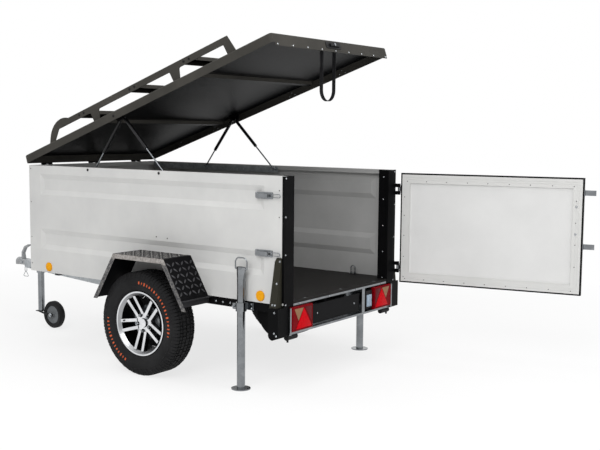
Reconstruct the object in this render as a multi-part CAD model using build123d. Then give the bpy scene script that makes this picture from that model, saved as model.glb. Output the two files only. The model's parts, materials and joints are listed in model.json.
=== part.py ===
from build123d import *
import os
from math import atan2, cos, hypot, radians, sin, tan

# Enclosed single-axle box trailer with a hinged lid and roof rack, a side-hung
# rear door, a V drawbar, a jockey wheel and two prop legs.
# Frame: +X towards the towing car, +Y to the left, +Z up, in millimetres.
# The origin is the centre of the ball socket in the coupling.

# Overall places
COUPLING_HEIGHT = 430.0     # ball centre above the ground
DRAWBAR_REACH = 885.0       # ball centre to the front wall
WALL_CLEARANCE = 508.0      # ground to the lower edge of the walls

# Box
BOX_LENGTH = 2160.0
BOX_WIDTH = 1206.0
WALL_HEIGHT = 720.0
WALL_SHEET = 2.0
TOP_FLANGE = 35.0           # width of the fold along the wall tops
TOP_LIP = 28.0              # turned-down inner edge of that fold
BOTTOM_FLANGE = 30.0
DECK_THICKNESS = 12.0
SWAGE_DEPTH = 12.0
SWAGE_SLOPE = 32.0          # height of the sloped band above and below a swage
SWAGE_HEIGHT = 138.0
SWAGE_BOTTOMS = (156.0, 526.0)
SWAGE_MARGIN_FRONT = 111.0
SWAGE_MARGIN_REAR = 140.0

# Rear frame
POST_WIDTH = 91.0
POST_DEPTH = 70.0
POST_SHEET = 3.0
POST_OUTER_FLANGE = 12.0
BEAM_HEIGHT = 175.0
BEAM_DEPTH = 60.0
BEAM_HALF_LENGTH = 561.0
BEAM_SHEET = 3.0
BEAM_LIP = 12.0
COVER_LENGTH = 66.0         # corner cover along the trailer
COVER_WIDTH = 99.0
COVER_BOTTOM = 192.0        # below the wall edge
COVER_RADIUS = 30.0
GUSSET_TOP = 262.0          # above the wall edge
GUSSET_LEAN = 52.0          # how far the gusset stands out at its foot
GUSSET_TOP_WIDTH = 20.0
GUSSET_FOOT_WIDTH = 42.0
GUARD_RADIUS = 150.0        # rounded inner side plate behind the leg
BUFFER_DIAMETER = 32.0
BUFFER_LENGTH = 92.0

# Chassis
ARM_HEIGHT = 60.0
ARM_WIDTH = 40.0
ARM_SHEET = 4.0
ARM_TOP = 48.0              # below the wall edge
ARM_SPREAD = 0.2            # sideways run for each unit along the trailer
ARM_NOSE_Y = 54.0           # centre line of an arm at its front end
ARM_NOSE_X = -150.0
ARM_PAST_AXLE = 60.0
MEMBER_WIDTH = 40.0
MEMBER_SHEET = 3.0
MEMBER_SHARES = (0.03, 0.28, 0.52, 0.79)    # of the box, from the front
RAIL_WIDTH = 40.0
RAIL_HEIGHT = 50.0
RAIL_LENGTH = 595.0         # ahead of the corner cover
RAIL_INSET = 6.0            # inside the wall face
STAY_HEIGHT = 40.0          # angle under the fender's rear face
STAY_FLANGE = 24.0
AXLE_BEHIND_MIDDLE = 135.0  # wheel centre behind the middle of the box
AXLE_END_INSET = 48.0       # end of the axle tube inside the wall face
AXLE_TUBE = 70.0
SWING_LENGTH = 150.0
SWING_WIDTH = 64.0
SWING_THICKNESS = 34.0
STUB_RADIUS = 18.0

# Wheels
TYRE_RADIUS = 316.0
TYRE_WIDTH = 180.0
TREAD_WIDTH = 150.0
TYRE_GAP = 14.0             # tyre to wall
GROOVE_WIDTH = 9.0
GROOVE_DEPTH = 7.0
RIM_SEAT_RADIUS = 178.0
RIM_FLANGE_RADIUS = 195.0
RIM_WIDTH = 146.0
RIM_SHEET = 9.0
SPOKE_PAIRS = 5
FIRST_PAIR = 60.5           # its angle from the front as the trailer stands
SPOKE_WIDTH = 19.0
SPOKE_HALF_ANGLE_HUB = 24.0
SPOKE_HALF_ANGLE_RIM = 10.0
SPOKE_DEPTH = 30.0
WHEEL_HUB_RADIUS = 63.0
CAP_RADIUS = 27.0
DRUM_RADIUS = 104.0
RUNNING_GAP = 0.3           # round a pin or shaft
SEAT_GAP = 0.1              # between pieces that rest on each other

# Fenders
FENDER_BEHIND_AXLE = 46.0
FENDER_TOP_LENGTH = 414.0
FENDER_FOOT_LENGTH = 764.0
FENDER_TOP = 226.0          # above the wall edge
FENDER_FOOT = -62.0
FENDER_REAR_CUT = 4.0       # end of the rear face below the wall edge
FENDER_WIDTH = 235.0
FENDER_SHEET = 2.5
FENDER_LIP = 28.0

# Lid and rack, measured with the lid closed
LID_ANGLE = 19.0            # opening shown
LID_GAP = 7.0               # seal gap above the wall tops
LID_FRONT_OVERHANG = 16.0
LID_REAR_OVERHANG = 44.0
LID_SIDE_OVERHANG = 12.0
LID_HEIGHT = 54.0
LID_SHEET = 2.5
LID_EDGE_RADIUS = 9.0
LID_CORNER_RADIUS = 22.0
LID_APRON = 20.0            # rear edge below the other edges
RIB_SHARES = (0.3432, 0.7207)   # of the lid, from the front
RIB_WIDTH = 70.0
RIB_DEPTH = 24.0
RIB_SHEET = 2.0
RIB_END_GAP = 6.0
RACK_FRONT = 248.0          # from the hinge along the lid
RACK_SETBACK = 280.0        # ahead of the lid's rear edge
RACK_HEIGHT = 110.0
RACK_BAR_DEPTH = 40.0
RACK_PLATE = 5.0
RACK_INSET = 34.0           # rail behind the lid's side edge
RACK_FRONT_RUN = 232.0      # length of the swept front end
RACK_REAR_RUN = 40.0
RACK_POST_SHARES = (0.286, 0.716)   # of the rack, from its front foot
RACK_POST_WIDTH = 50.0
RACK_FOOT_FLANGE = 34.0
CROSSBAR_SHARES = (0.2135, 0.5, 0.7806)
CROSSBAR_WIDTH = 84.0
CROSSBAR_HEIGHT = 26.0
CROSSBAR_SHEET = 3.0
HINGE_PLACES = (-430.0, 0.0, 430.0)
HINGE_LENGTH = 90.0
HINGE_BARREL = 7.0
HINGE_PIN = 4.0
HINGE_LEAF = 3.0
HINGE_OUT = 8.5             # hinge axis ahead of the lid's front face
LOCK_PLACE = 15.0
STRAP_SETBACK = 158.0       # ahead of the lid's rear edge
STRAP_WIDTH = 26.0
STRAP_THICKNESS = 3.0
STRAP_SIDE = -150.0
STRAP_SPAN = 140.0
STRAP_DROP = 300.0

# Gas struts
STUD_PLACES = (583.0, 1212.0)   # behind the front wall
STUD_HEIGHT = 698.0         # above the wall edge
STUD_RADIUS = 5.0
PIVOT_PLACE = 926.0         # middle of a pair, from the hinge along the lid
PIVOT_SPACING = 26.0
PIVOT_RISE = 10.0           # above the lid's lower edge
STRUT_INSET = 57.0          # strut plane inside the wall face
STRUT_RADIUS = 11.0
STRUT_LENGTH = 270.0
ROD_RADIUS = 5.0
ROD_LENGTH = 255.0
EYE_RADIUS = 10.0
EYE_WIDTH = 12.0
STRUT_RAIL_HEIGHT = 38.0
STRUT_RAIL_SHEET = 5.0

# Rear door, measured closed
DOOR_ANGLE = 101.0          # opening shown
DOOR_BOTTOM = -12.0         # from the wall edge
DOOR_TOP = 700.0
DOOR_FREE_INSET = 55.0      # free edge inside the wall face
DOOR_THICKNESS = 28.0
DOOR_SEAL_GAP = 6.0
DOOR_EDGE = 9.0
DOOR_FRAME_WIDTH = 56.0
DOOR_FRAME_DEPTH = 6.0
DOOR_HINGE_SIDE_GAP = 3.0
DOOR_HINGES = (85.0, 594.0)
DOOR_HINGE_LENGTH = 72.0
DOOR_PIN = 5.0
DOOR_BARREL = 9.0
DOOR_AXIS_OUT = 14.0
LATCHES = (285.0, 610.0)
LATCH_LENGTH = 122.0
LATCH_HEIGHT = 38.0
LATCH_AHEAD = 200.0         # front end ahead of the box's rear end
LATCH_BAIL = 58.0           # wire bail past the base plate
KEEPER_PAST_WALL = 12.0
KEEPER_HEIGHT = 40.0

# Lamps and reflectors
LAMP_WIDTH = 205.0
LAMP_HEIGHT = 140.0
LAMP_OUTER = 546.0
LAMP_TOP = 19.0             # below the wall edge
LENS_DEPTH = 24.0
LENS_PROUD = 16.0
PLATE_WIDTH = 520.0
PLATE_HEIGHT = 112.0
PLATE_MIDDLE = 62.0
PLATE_TOP = 36.0
DIVIDER_PLACE = -240.0
REFLECTOR_DIAMETER = 60.0
REFLECTOR_FRONT = 190.0     # behind the front wall
REFLECTOR_REAR = 164.0      # ahead of the rear end
REFLECTOR_HEIGHT = 39.0
REFLECTOR_DEPTH = 7.0

# Prop legs
LEG_AHEAD = 275.0           # ahead of the box's rear end
LEG_DIAMETER = 48.0
LEG_GAP = 12.0
LEG_TOP = 198.0             # above the wall edge
LEG_FOOT_DIAMETER = 112.0
LEG_FOOT_THICKNESS = 6.0
LEG_FLAT_LENGTH = 72.0      # flattened top end
LEG_FLAT_WIDTH = 66.0
LEG_FLAT_DEPTH = 30.0
LEG_WALL = 3.0
LEG_HANDLE_HEIGHT = 57.0
LEG_HANDLE_WIDTH = 84.0
LEG_WIRE = 8.0
CLAMP_TOP = 5.0             # below the wall edge
CLAMP_HEIGHT = 50.0
CLAMP_WALL = 8.0
CLAMP_FOOT = 62.0           # bracket behind the leg
CLAMP_EAR = 30.0
CLAMP_EAR_WIDTH = 22.0
CLAMP_SLIT = 3.0
CLAMP_BOLT = 10.0

# Jockey wheel
JOCKEY_AHEAD = 420.0        # ahead of the front wall
JOCKEY_TUBE = 48.0
JOCKEY_TOP = 118.0          # above the wall edge
JOCKEY_BOTTOM = 392.0       # below the wall edge
JOCKEY_WHEEL = 200.0
JOCKEY_WHEEL_WIDTH = 50.0
JOCKEY_TRAIL = 144.0
FORK_SHEET = 5.0
FORK_GAP = 4.0
FORK_STEM = 90.0
JOCKEY_AXLE = 8.0
CRANK_REACH = 80.0
CRANK_GRIP = 52.0

# Coupling
BALL_SOCKET = 25.3          # socket radius for a 50 mm ball
SOCKET_WALL = 7.0
NECK_WIDTH = 60.0
NECK_HEIGHT = 46.0
NOSE_LENGTH = 190.0         # box between the arms behind the neck
HANDLE_WIDTH = 26.0
CHAIN_WIRE = 5.0

# Lashing rings
RING_SHARES = (0.194, 0.5, 0.865)   # of the box, from the front
RING_WIDTH = 46.0
RING_WIRE = 7.0
RING_HEIGHT = 52.0
RING_GAP = 8.0              # base plate to the pressed wall
RING_BASE = 34.0
RING_BASE_SHEET = 3.0
RING_EAR_RADIUS = 8.0

# Worked-out places
HALF_WIDTH = BOX_WIDTH / 2
BOX_FRONT = -DRAWBAR_REACH
BOX_REAR = BOX_FRONT - BOX_LENGTH
GROUND = -COUPLING_HEIGHT
WALL_BOTTOM = GROUND + WALL_CLEARANCE
WALL_TOP = WALL_BOTTOM + WALL_HEIGHT
DECK_TOP = WALL_BOTTOM + WALL_SHEET + DECK_THICKNESS
ARM_TOP_Z = WALL_BOTTOM - ARM_TOP
AXLE_X = (BOX_FRONT + BOX_REAR) / 2 - AXLE_BEHIND_MIDDLE
AXLE_Z = GROUND + TYRE_RADIUS
TYRE_MIDDLE = HALF_WIDTH + TYRE_GAP + TYRE_WIDTH / 2
AXLE_TUBE_Z = ARM_TOP_Z - ARM_HEIGHT - AXLE_TUBE / 2
LID_FRONT = BOX_FRONT + LID_FRONT_OVERHANG
LID_AXIS_X = LID_FRONT + HINGE_OUT
LID_BOTTOM = WALL_TOP + LID_GAP
LID_LENGTH = BOX_LENGTH + LID_FRONT_OVERHANG + LID_REAR_OVERHANG
LID_HALF_WIDTH = HALF_WIDTH + LID_SIDE_OVERHANG
LID_REACH = LID_LENGTH + HINGE_OUT
RACK_REAR = LID_REACH - RACK_SETBACK
STRAP_PLACE = LID_REACH - STRAP_SETBACK
RIB_PLACES = [share * LID_LENGTH for share in RIB_SHARES]
RACK_POSTS = [RACK_FRONT + share * (RACK_REAR - RACK_FRONT) for share in RACK_POST_SHARES]
CROSSBAR_PLACES = [RACK_FRONT + share * (RACK_REAR - RACK_FRONT) for share in CROSSBAR_SHARES]
RING_PLACES = [share * BOX_LENGTH for share in RING_SHARES]
REFLECTOR_PLACES = (REFLECTOR_FRONT, BOX_LENGTH - REFLECTOR_REAR)
MEMBER_PLACES = [share * BOX_LENGTH for share in MEMBER_SHARES]
SOCKET_DEPTH = NECK_HEIGHT / 2
LID_AXIS = Axis((LID_AXIS_X, 0, LID_BOTTOM), (0, 1, 0))
STRUT_Y = HALF_WIDTH - STRUT_INSET
POST_FACE = BOX_REAR - POST_SHEET
DOOR_INNER = POST_FACE - DOOR_SEAL_GAP
DOOR_OUTER = DOOR_INNER - DOOR_THICKNESS
DOOR_AXIS_X = DOOR_INNER - DOOR_THICKNESS / 2
DOOR_AXIS_Y = -HALF_WIDTH - DOOR_AXIS_OUT
DOOR_AXIS = Axis((DOOR_AXIS_X, DOOR_AXIS_Y, 0), (0, 0, 1))
LEG_X = BOX_REAR + LEG_AHEAD
LEG_Y = HALF_WIDTH + LEG_GAP + LEG_DIAMETER / 2
JOCKEY_X = BOX_FRONT + JOCKEY_AHEAD


def arm_y(x):
    """Centre line of the left drawbar arm at one place along the trailer."""
    return ARM_NOSE_Y + ARM_SPREAD * (ARM_NOSE_X - x)


ARM_SKEW = hypot(1.0, ARM_SPREAD)
ARM_REAR = AXLE_X + SWING_LENGTH - AXLE_TUBE / 2 - ARM_PAST_AXLE
MEMBER_HALF_LENGTH = arm_y(ARM_REAR) + ARM_WIDTH / 2 * ARM_SKEW
JOCKEY_Y = arm_y(JOCKEY_X) + ARM_WIDTH / 2 * ARM_SKEW + CLAMP_WALL + JOCKEY_TUBE / 2 + 6.0
JOCKEY_WHEEL_X = JOCKEY_X - JOCKEY_TRAIL
JOCKEY_WHEEL_Z = GROUND + JOCKEY_WHEEL / 2


def block(x0, x1, y0, y1, z0, z1):
    """A box between two corners, given in any order."""
    middle = Pos((x0 + x1) / 2, (y0 + y1) / 2, (z0 + z1) / 2)
    return middle * Box(abs(x1 - x0), abs(y1 - y0), abs(z1 - z0))


def prism(points, direction):
    """A flat outline of 3-D points, drawn out along a direction."""
    outline = make_face(Polyline(*points, close=True))
    return extrude(outline, amount=Vector(*direction).length, dir=direction)


def round_prism(points, radius, direction):
    """A prism whose outline has rounded corners."""
    outline = make_face(FilletPolyline(*points, radius=radius, close=True))
    return extrude(outline, amount=Vector(*direction).length, dir=direction)


def bar(start, end, radius):
    """A round bar between two points."""
    start, end = Vector(*start), Vector(*end)
    run = end - start
    return Solid.make_cylinder(radius, run.length, Plane(origin=start, z_dir=run))


def tube(start, end, radius, wall):
    """A hollow round tube between two points."""
    return bar(start, end, radius) - bar(start, end, radius - wall)


def arc_about(centre, start, end):
    """The shorter arc between two points about their common centre."""
    centre, start, end = Vector(*centre), Vector(*start), Vector(*end)
    middle = centre + ((start - centre) + (end - centre)).normalized() * (start - centre).length
    return ThreePointArc(start, middle, end)


def bent_wire(points, bend, wire, closed=False):
    """Round wire along straight runs joined by tangent arcs."""
    path = FilletPolyline(*points, radius=bend, close=closed)
    start = Plane(origin=path @ 0, z_dir=path % 0)
    return sweep(start * Circle(wire / 2), path=path)


def group(*solids):
    """Like pieces that share a node."""
    parts = []
    for solid in solids:
        parts.extend(solid.solids())
    return Compound(parts)


def both_sides(make):
    """The same piece on the left (1) and on the right (-1)."""
    return group(make(1), make(-1))


def opened_lid(shape):
    """From the closed lid to the opening shown."""
    return shape.rotate(LID_AXIS, LID_ANGLE)


def opened_door(shape):
    """From the closed door to the opening shown."""
    return shape.rotate(DOOR_AXIS, DOOR_ANGLE)


def lid_point(along, rise):
    """X and Z of a place on the opened lid, from the hinge and its lower edge."""
    a = radians(LID_ANGLE)
    return (LID_AXIS_X - along * cos(a) + rise * sin(a),
            LID_BOTTOM + along * sin(a) + rise * cos(a))


# Walls and deck

def pressed_wall(length, fold_length, front_margin, rear_margin):
    """A folded sheet with two pressed-in swages: outer face on Y = 0, length on X."""
    sheet = block(-length / 2, length / 2, -WALL_SHEET, 0, 0, WALL_HEIGHT)
    fold = block(-fold_length / 2, fold_length / 2, -TOP_FLANGE, 0, WALL_HEIGHT - WALL_SHEET, WALL_HEIGHT)
    lip = block(-fold_length / 2, fold_length / 2, -TOP_FLANGE, WALL_SHEET - TOP_FLANGE,
                WALL_HEIGHT - TOP_LIP, WALL_HEIGHT)
    foot = block(-fold_length / 2, fold_length / 2, -BOTTOM_FLANGE, 0, 0, WALL_SHEET)
    wall = sheet + fold + lip + foot
    swage_length = length - front_margin - rear_margin
    swage_middle = (rear_margin - front_margin) / 2
    pockets = []
    for bottom in SWAGE_BOTTOMS:
        middle = bottom + SWAGE_HEIGHT / 2
        mouth = Plane(origin=(swage_middle, 0, middle), x_dir=(1, 0, 0), z_dir=(0, -1, 0))
        floor = mouth.offset(SWAGE_DEPTH)
        pocket = loft([mouth * Rectangle(swage_length, SWAGE_HEIGHT),
                       floor * Rectangle(swage_length - 2 * SWAGE_SLOPE, SWAGE_HEIGHT - 2 * SWAGE_SLOPE)],
                      ruled=True)
        wall += Pos(0, -WALL_SHEET, 0) * pocket
        pockets.append(pocket)
    for pocket in pockets:
        wall -= pocket
    return wall


def side_wall(side):
    front_margin, rear_margin = SWAGE_MARGIN_FRONT, SWAGE_MARGIN_REAR
    if side < 0:
        front_margin, rear_margin = rear_margin, front_margin
    wall = pressed_wall(BOX_LENGTH, BOX_LENGTH - 2 * WALL_SHEET, front_margin, rear_margin)
    turn = Rot(0, 0, 0) if side > 0 else Rot(0, 0, 180)
    return Pos((BOX_FRONT + BOX_REAR) / 2, side * HALF_WIDTH, WALL_BOTTOM) * turn * wall


def front_wall():
    width = BOX_WIDTH - 2 * WALL_SHEET
    wall = pressed_wall(width, BOX_WIDTH - 2 * TOP_FLANGE, SWAGE_MARGIN_FRONT, SWAGE_MARGIN_FRONT)
    return Pos(BOX_FRONT, 0, WALL_BOTTOM) * Rot(0, 0, -90) * wall


def floor_panel():
    inner = HALF_WIDTH - WALL_SHEET
    return block(BOX_REAR, BOX_FRONT - WALL_SHEET, -inner, inner, WALL_BOTTOM + WALL_SHEET, DECK_TOP)


def lashing_ring(place, side):
    """A folded plate on the deck edge with a D ring standing in its ears."""
    x = BOX_FRONT - place
    wall = HALF_WIDTH - WALL_SHEET - SWAGE_DEPTH - RING_GAP
    z = DECK_TOP + RING_BASE_SHEET
    base = block(x - RING_WIDTH / 2, x + RING_WIDTH / 2, side * wall, side * (wall - RING_BASE), DECK_TOP, z)
    y = side * (wall - 1.5 * RING_EAR_RADIUS)
    ear = RING_WIRE * 1.4
    half = RING_WIDTH / 2 - ear / 2
    leg = half - RING_WIRE * 0.3
    foot = z + RING_EAR_RADIUS * 0.6
    ears = bar((x - half, y, foot), (x - half + ear, y, foot), RING_EAR_RADIUS)
    ears += bar((x + half, y, foot), (x + half - ear, y, foot), RING_EAR_RADIUS)
    ring = bent_wire([(x - leg, y, foot), (x - leg, y, z + RING_HEIGHT), (x + leg, y, z + RING_HEIGHT),
                      (x + leg, y, foot)], 2 * RING_WIRE, RING_WIRE)
    under = block(x - RING_WIDTH, x + RING_WIDTH, y - RING_BASE, y + RING_BASE, z - RING_BASE, z)
    return base + (ears + ring - under)


# Rear frame

def rear_post(side):
    """Folded channel: rear face, inner flange with a return, short outer flange."""
    outer = HALF_WIDTH + POST_SHEET
    inner = outer - POST_WIDTH
    profile = [(POST_FACE, outer), (BOX_REAR + POST_OUTER_FLANGE, outer), (BOX_REAR + POST_OUTER_FLANGE, HALF_WIDTH),
               (BOX_REAR, HALF_WIDTH), (BOX_REAR, inner + POST_SHEET),
               (BOX_REAR + POST_DEPTH - POST_SHEET, inner + POST_SHEET),
               (BOX_REAR + POST_DEPTH - POST_SHEET, inner + POST_WIDTH / 3),
               (BOX_REAR + POST_DEPTH, inner + POST_WIDTH / 3), (BOX_REAR + POST_DEPTH, inner), (POST_FACE, inner)]
    post = prism([(x, side * y, DECK_TOP) for x, y in profile], (0, 0, WALL_TOP - DECK_TOP))
    foot = block(POST_FACE, BOX_REAR, side * inner, side * outer, WALL_BOTTOM + DOOR_BOTTOM, DECK_TOP)
    return post + foot


def corner_cover(side):
    """Lower corner box with a rounded toe, its rounded inner plate and the leaning gusset."""
    inner = BEAM_HALF_LENGTH
    outer = inner + COVER_WIDTH
    top = WALL_BOTTOM + DOOR_BOTTOM
    bottom = WALL_BOTTOM - COVER_BOTTOM
    front = BOX_REAR + COVER_LENGTH
    r = COVER_RADIUS
    toe = [Line((POST_FACE, 0, top), (front, 0, top)), Line((front, 0, top), (front, 0, bottom + r)),
           arc_about((front - r, 0, bottom + r), (front, 0, bottom + r), (front - r, 0, bottom)),
           Line((front - r, 0, bottom), (POST_FACE, 0, bottom + r / 2)),
           Line((POST_FACE, 0, bottom + r / 2), (POST_FACE, 0, top))]
    cover = Pos(0, side * inner, 0) * extrude(make_face(toe), amount=COVER_WIDTH, dir=(0, side, 0))
    guard_top = WALL_BOTTOM - RAIL_HEIGHT
    guard = [Line((front, 0, guard_top), (front + GUARD_RADIUS, 0, guard_top)),
             arc_about((front, 0, guard_top), (front + GUARD_RADIUS, 0, guard_top), (front, 0, guard_top - GUARD_RADIUS)),
             Line((front, 0, guard_top - GUARD_RADIUS), (front, 0, guard_top))]
    plate = Pos(0, side * inner, 0) * extrude(make_face(guard), amount=POST_SHEET, dir=(0, side, 0))
    face = HALF_WIDTH + POST_SHEET
    gusset_top = WALL_BOTTOM + GUSSET_TOP
    foot_back, top_back = BOX_REAR + POST_OUTER_FLANGE, BOX_REAR + POST_OUTER_FLANGE
    low = make_face(Polyline((foot_back, side * HALF_WIDTH, top), (foot_back + GUSSET_FOOT_WIDTH, side * HALF_WIDTH, top),
                             (foot_back + GUSSET_FOOT_WIDTH, side * (HALF_WIDTH + GUSSET_LEAN), top),
                             (foot_back, side * (HALF_WIDTH + GUSSET_LEAN), top), close=True))
    high = make_face(Polyline((top_back, side * HALF_WIDTH, gusset_top),
                              (top_back + GUSSET_TOP_WIDTH, side * HALF_WIDTH, gusset_top),
                              (top_back + GUSSET_TOP_WIDTH, side * (face + 1.0), gusset_top),
                              (top_back, side * (face + 1.0), gusset_top), close=True))
    gusset = loft([low, high], ruled=True)
    return cover + plate + gusset


def rear_beam():
    """Lipped channel open to the rear, with end plates and a divider beside the plate."""
    half = BEAM_HALF_LENGTH
    top, bottom = WALL_BOTTOM, WALL_BOTTOM - BEAM_HEIGHT
    front = BOX_REAR + BEAM_DEPTH
    t = BEAM_SHEET
    beam = block(BOX_REAR, front, -half, half, bottom, top)
    beam -= block(BOX_REAR + t, front - t, -half + t, half - t, bottom + t, top - t)
    beam -= block(BOX_REAR - t, BOX_REAR + 2 * t, -half + t, half - t, bottom + BEAM_LIP, top - BEAM_LIP)
    divider = block(BOX_REAR + t, front - t, DIVIDER_PLACE - 16.0, DIVIDER_PLACE + 16.0,
                    bottom + t, top - t)
    return beam + divider


def tail_lamp_place(side):
    """Sides, lower edge and upper edge of one tail lamp."""
    top = WALL_BOTTOM - LAMP_TOP
    return side * LAMP_OUTER, side * (LAMP_OUTER - LAMP_WIDTH), top - LAMP_HEIGHT, top


def lamp_housing(side):
    y0, y1, z0, z1 = tail_lamp_place(side)
    rim = 3.0
    return block(BOX_REAR + LENS_DEPTH - LENS_PROUD, BOX_REAR + BEAM_DEPTH - BEAM_SHEET,
                 y0 - side * rim, y1 + side * rim, z0 + rim, z1 - rim)


def lamp_lens(side):
    y0, y1, z0, z1 = tail_lamp_place(side)
    lens = block(BOX_REAR - LENS_PROUD, BOX_REAR + LENS_DEPTH - LENS_PROUD, y0, y1, z0, z1)
    return fillet(lens.faces().sort_by(Axis.X)[0].edges(), 5.0)


def number_plate():
    """Blank plate on its holder inside the beam."""
    top = WALL_BOTTOM - PLATE_TOP
    y0, y1 = PLATE_MIDDLE - PLATE_WIDTH / 2, PLATE_MIDDLE + PLATE_WIDTH / 2
    face = BOX_REAR + 8.0
    plate = block(face, face + 4.0, y0, y1, top - PLATE_HEIGHT, top)
    holder = block(face + 4.0, BOX_REAR + BEAM_DEPTH - BEAM_SHEET, y0 + 60.0, y1 - 60.0, top - PLATE_HEIGHT + 20.0,
                   top - 20.0)
    return plate + holder


def side_reflector(place, side):
    x, z = BOX_FRONT - place, WALL_BOTTOM + REFLECTOR_HEIGHT
    disc = bar((x, side * HALF_WIDTH, z), (x, side * (HALF_WIDTH + REFLECTOR_DEPTH), z), REFLECTOR_DIAMETER / 2)
    outer_edge = disc.edges().sort_by(Axis.Y)[-1 if side > 0 else 0]
    return chamfer(outer_edge, 2.5)


def rear_buffer(side):
    """Rubber buffer on a bolt under the end of the beam."""
    z = WALL_BOTTOM - BEAM_HEIGHT - BUFFER_DIAMETER / 2
    x = BOX_REAR + BUFFER_DIAMETER / 2
    y = side * (BEAM_HALF_LENGTH - 4.0)
    rubber = bar((x, y, z), (x, y - side * BUFFER_LENGTH, z), BUFFER_DIAMETER / 2)
    seat = block(x - 10.0, x + 10.0, y - side * 12.0, y - side * (BUFFER_LENGTH - 12.0), z, WALL_BOTTOM - BEAM_HEIGHT)
    bolt = bar((x, y - side * 14.0, z), (x, y - side * 14.0, z - BUFFER_DIAMETER / 2 - 12.0), 6.0)
    return rubber + seat + bolt


# Chassis

def drawbar():
    """Two spreading arms of box section and the nose box that ties them."""
    z1, z0 = ARM_TOP_Z, ARM_TOP_Z - ARM_HEIGHT
    half = ARM_WIDTH / 2 * ARM_SKEW

    def arm(side, inset):
        outline = [(x, side * (arm_y(x) + edge * (half - inset)), z0 + inset)
                   for x, edge in ((ARM_NOSE_X, -1), (ARM_NOSE_X, 1), (ARM_REAR, 1), (ARM_REAR, -1))]
        return prism(outline, (0, 0, ARM_HEIGHT - 2 * inset))

    arms = [arm(side, 0) - arm(side, ARM_SHEET) for side in (1, -1)]
    nose_rear = ARM_NOSE_X - NOSE_LENGTH
    nose = prism([(x, side * (arm_y(x) - half), z0)
                  for x, side in ((ARM_NOSE_X, 1), (ARM_NOSE_X, -1), (nose_rear, -1), (nose_rear, 1))],
                 (0, 0, ARM_HEIGHT))
    return arms[0] + arms[1] + nose


def cross_member(place):
    """Channel open to the rear, between the arms and the deck."""
    x = BOX_FRONT - place
    z0, z1 = ARM_TOP_Z, WALL_BOTTOM + WALL_SHEET
    t = MEMBER_SHEET
    member = block(x - MEMBER_WIDTH, x, -MEMBER_HALF_LENGTH, MEMBER_HALF_LENGTH, z0, z1)
    return member - block(x - MEMBER_WIDTH - t, x - t, -MEMBER_HALF_LENGTH - t, MEMBER_HALF_LENGTH + t, z0 + t, z1 - t)


def rear_rail(side):
    """Channel under the wall's edge that carries the fender's rear foot and the leg clamp."""
    outer = HALF_WIDTH - RAIL_INSET
    inner = outer - RAIL_WIDTH
    x0 = BOX_REAR + COVER_LENGTH
    x1 = x0 + RAIL_LENGTH
    z0, z1 = WALL_BOTTOM - RAIL_HEIGHT, WALL_BOTTOM
    t = MEMBER_SHEET
    rail = block(x0, x1, side * inner, side * outer, z0, z1)
    rail -= block(x0 - t, x1 + t, side * (inner - t), side * (outer - t), z0 + t, z1 - t)
    drop = FENDER_TOP + FENDER_REAR_CUT
    run = (FENDER_FOOT_LENGTH - FENDER_TOP_LENGTH) / 2 * drop / (FENDER_TOP - FENDER_FOOT)
    x = AXLE_X - FENDER_BEHIND_AXLE - FENDER_TOP_LENGTH / 2 - run
    z = WALL_BOTTOM - FENDER_REAR_CUT - SEAT_GAP
    reach = side * (HALF_WIDTH + FENDER_WIDTH - FENDER_SHEET - SEAT_GAP)
    stay = block(x, x + t, side * (outer - t), reach, z - STAY_HEIGHT, z)
    stay += block(x + t, x - STAY_FLANGE, side * (outer - t), reach, z - t, z)
    return rail + stay


def axle_beam():
    """Rubber-suspension axle tube with the plates that bolt it under the arms."""
    x = AXLE_X + SWING_LENGTH
    half = AXLE_TUBE / 2
    length = HALF_WIDTH - AXLE_END_INSET
    beam = block(x - half, x + half, -length, length, AXLE_TUBE_Z - half, AXLE_TUBE_Z + half)
    return fillet(beam.edges().filter_by(Axis.Y), 8.0)


def swing_arm(side):
    """Suspension arm from the axle tube to the stub axle."""
    y0 = HALF_WIDTH - AXLE_END_INSET
    y1 = y0 + SWING_THICKNESS
    x = AXLE_X + SWING_LENGTH
    run = atan2(AXLE_Z - AXLE_TUBE_Z, -SWING_LENGTH)
    ends = [(x, AXLE_TUBE_Z), (AXLE_X, AXLE_Z)]
    r = SWING_WIDTH / 2
    nx, nz = -sin(run) * r, cos(run) * r
    outline = [(px + s * nx, side * y0, pz + s * nz) for px, pz, s in
               ((*ends[0], 1), (*ends[1], 1), (*ends[1], -1), (*ends[0], -1))]
    arm = prism(outline, (0, side * SWING_THICKNESS, 0))
    for px, pz in ends:
        arm += bar((px, side * y0, pz), (px, side * y1, pz), r)
    stub = bar((AXLE_X, side * y1, AXLE_Z), (AXLE_X, side * TYRE_MIDDLE, AXLE_Z), STUB_RADIUS)
    return arm + stub


# Wheels, drawn with the axle along Y and the outer face towards +Y

def place_wheel(shape, side):
    turn = Rot(0, 0, 0) if side > 0 else Rot(0, 0, 180)
    return Pos(AXLE_X, side * TYRE_MIDDLE, AXLE_Z) * turn * shape


def spun(outline):
    """A flat outline in the XY plane, turned round the axle."""
    return revolve(make_face(outline), axis=Axis.Y, revolution_arc=360)


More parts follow.
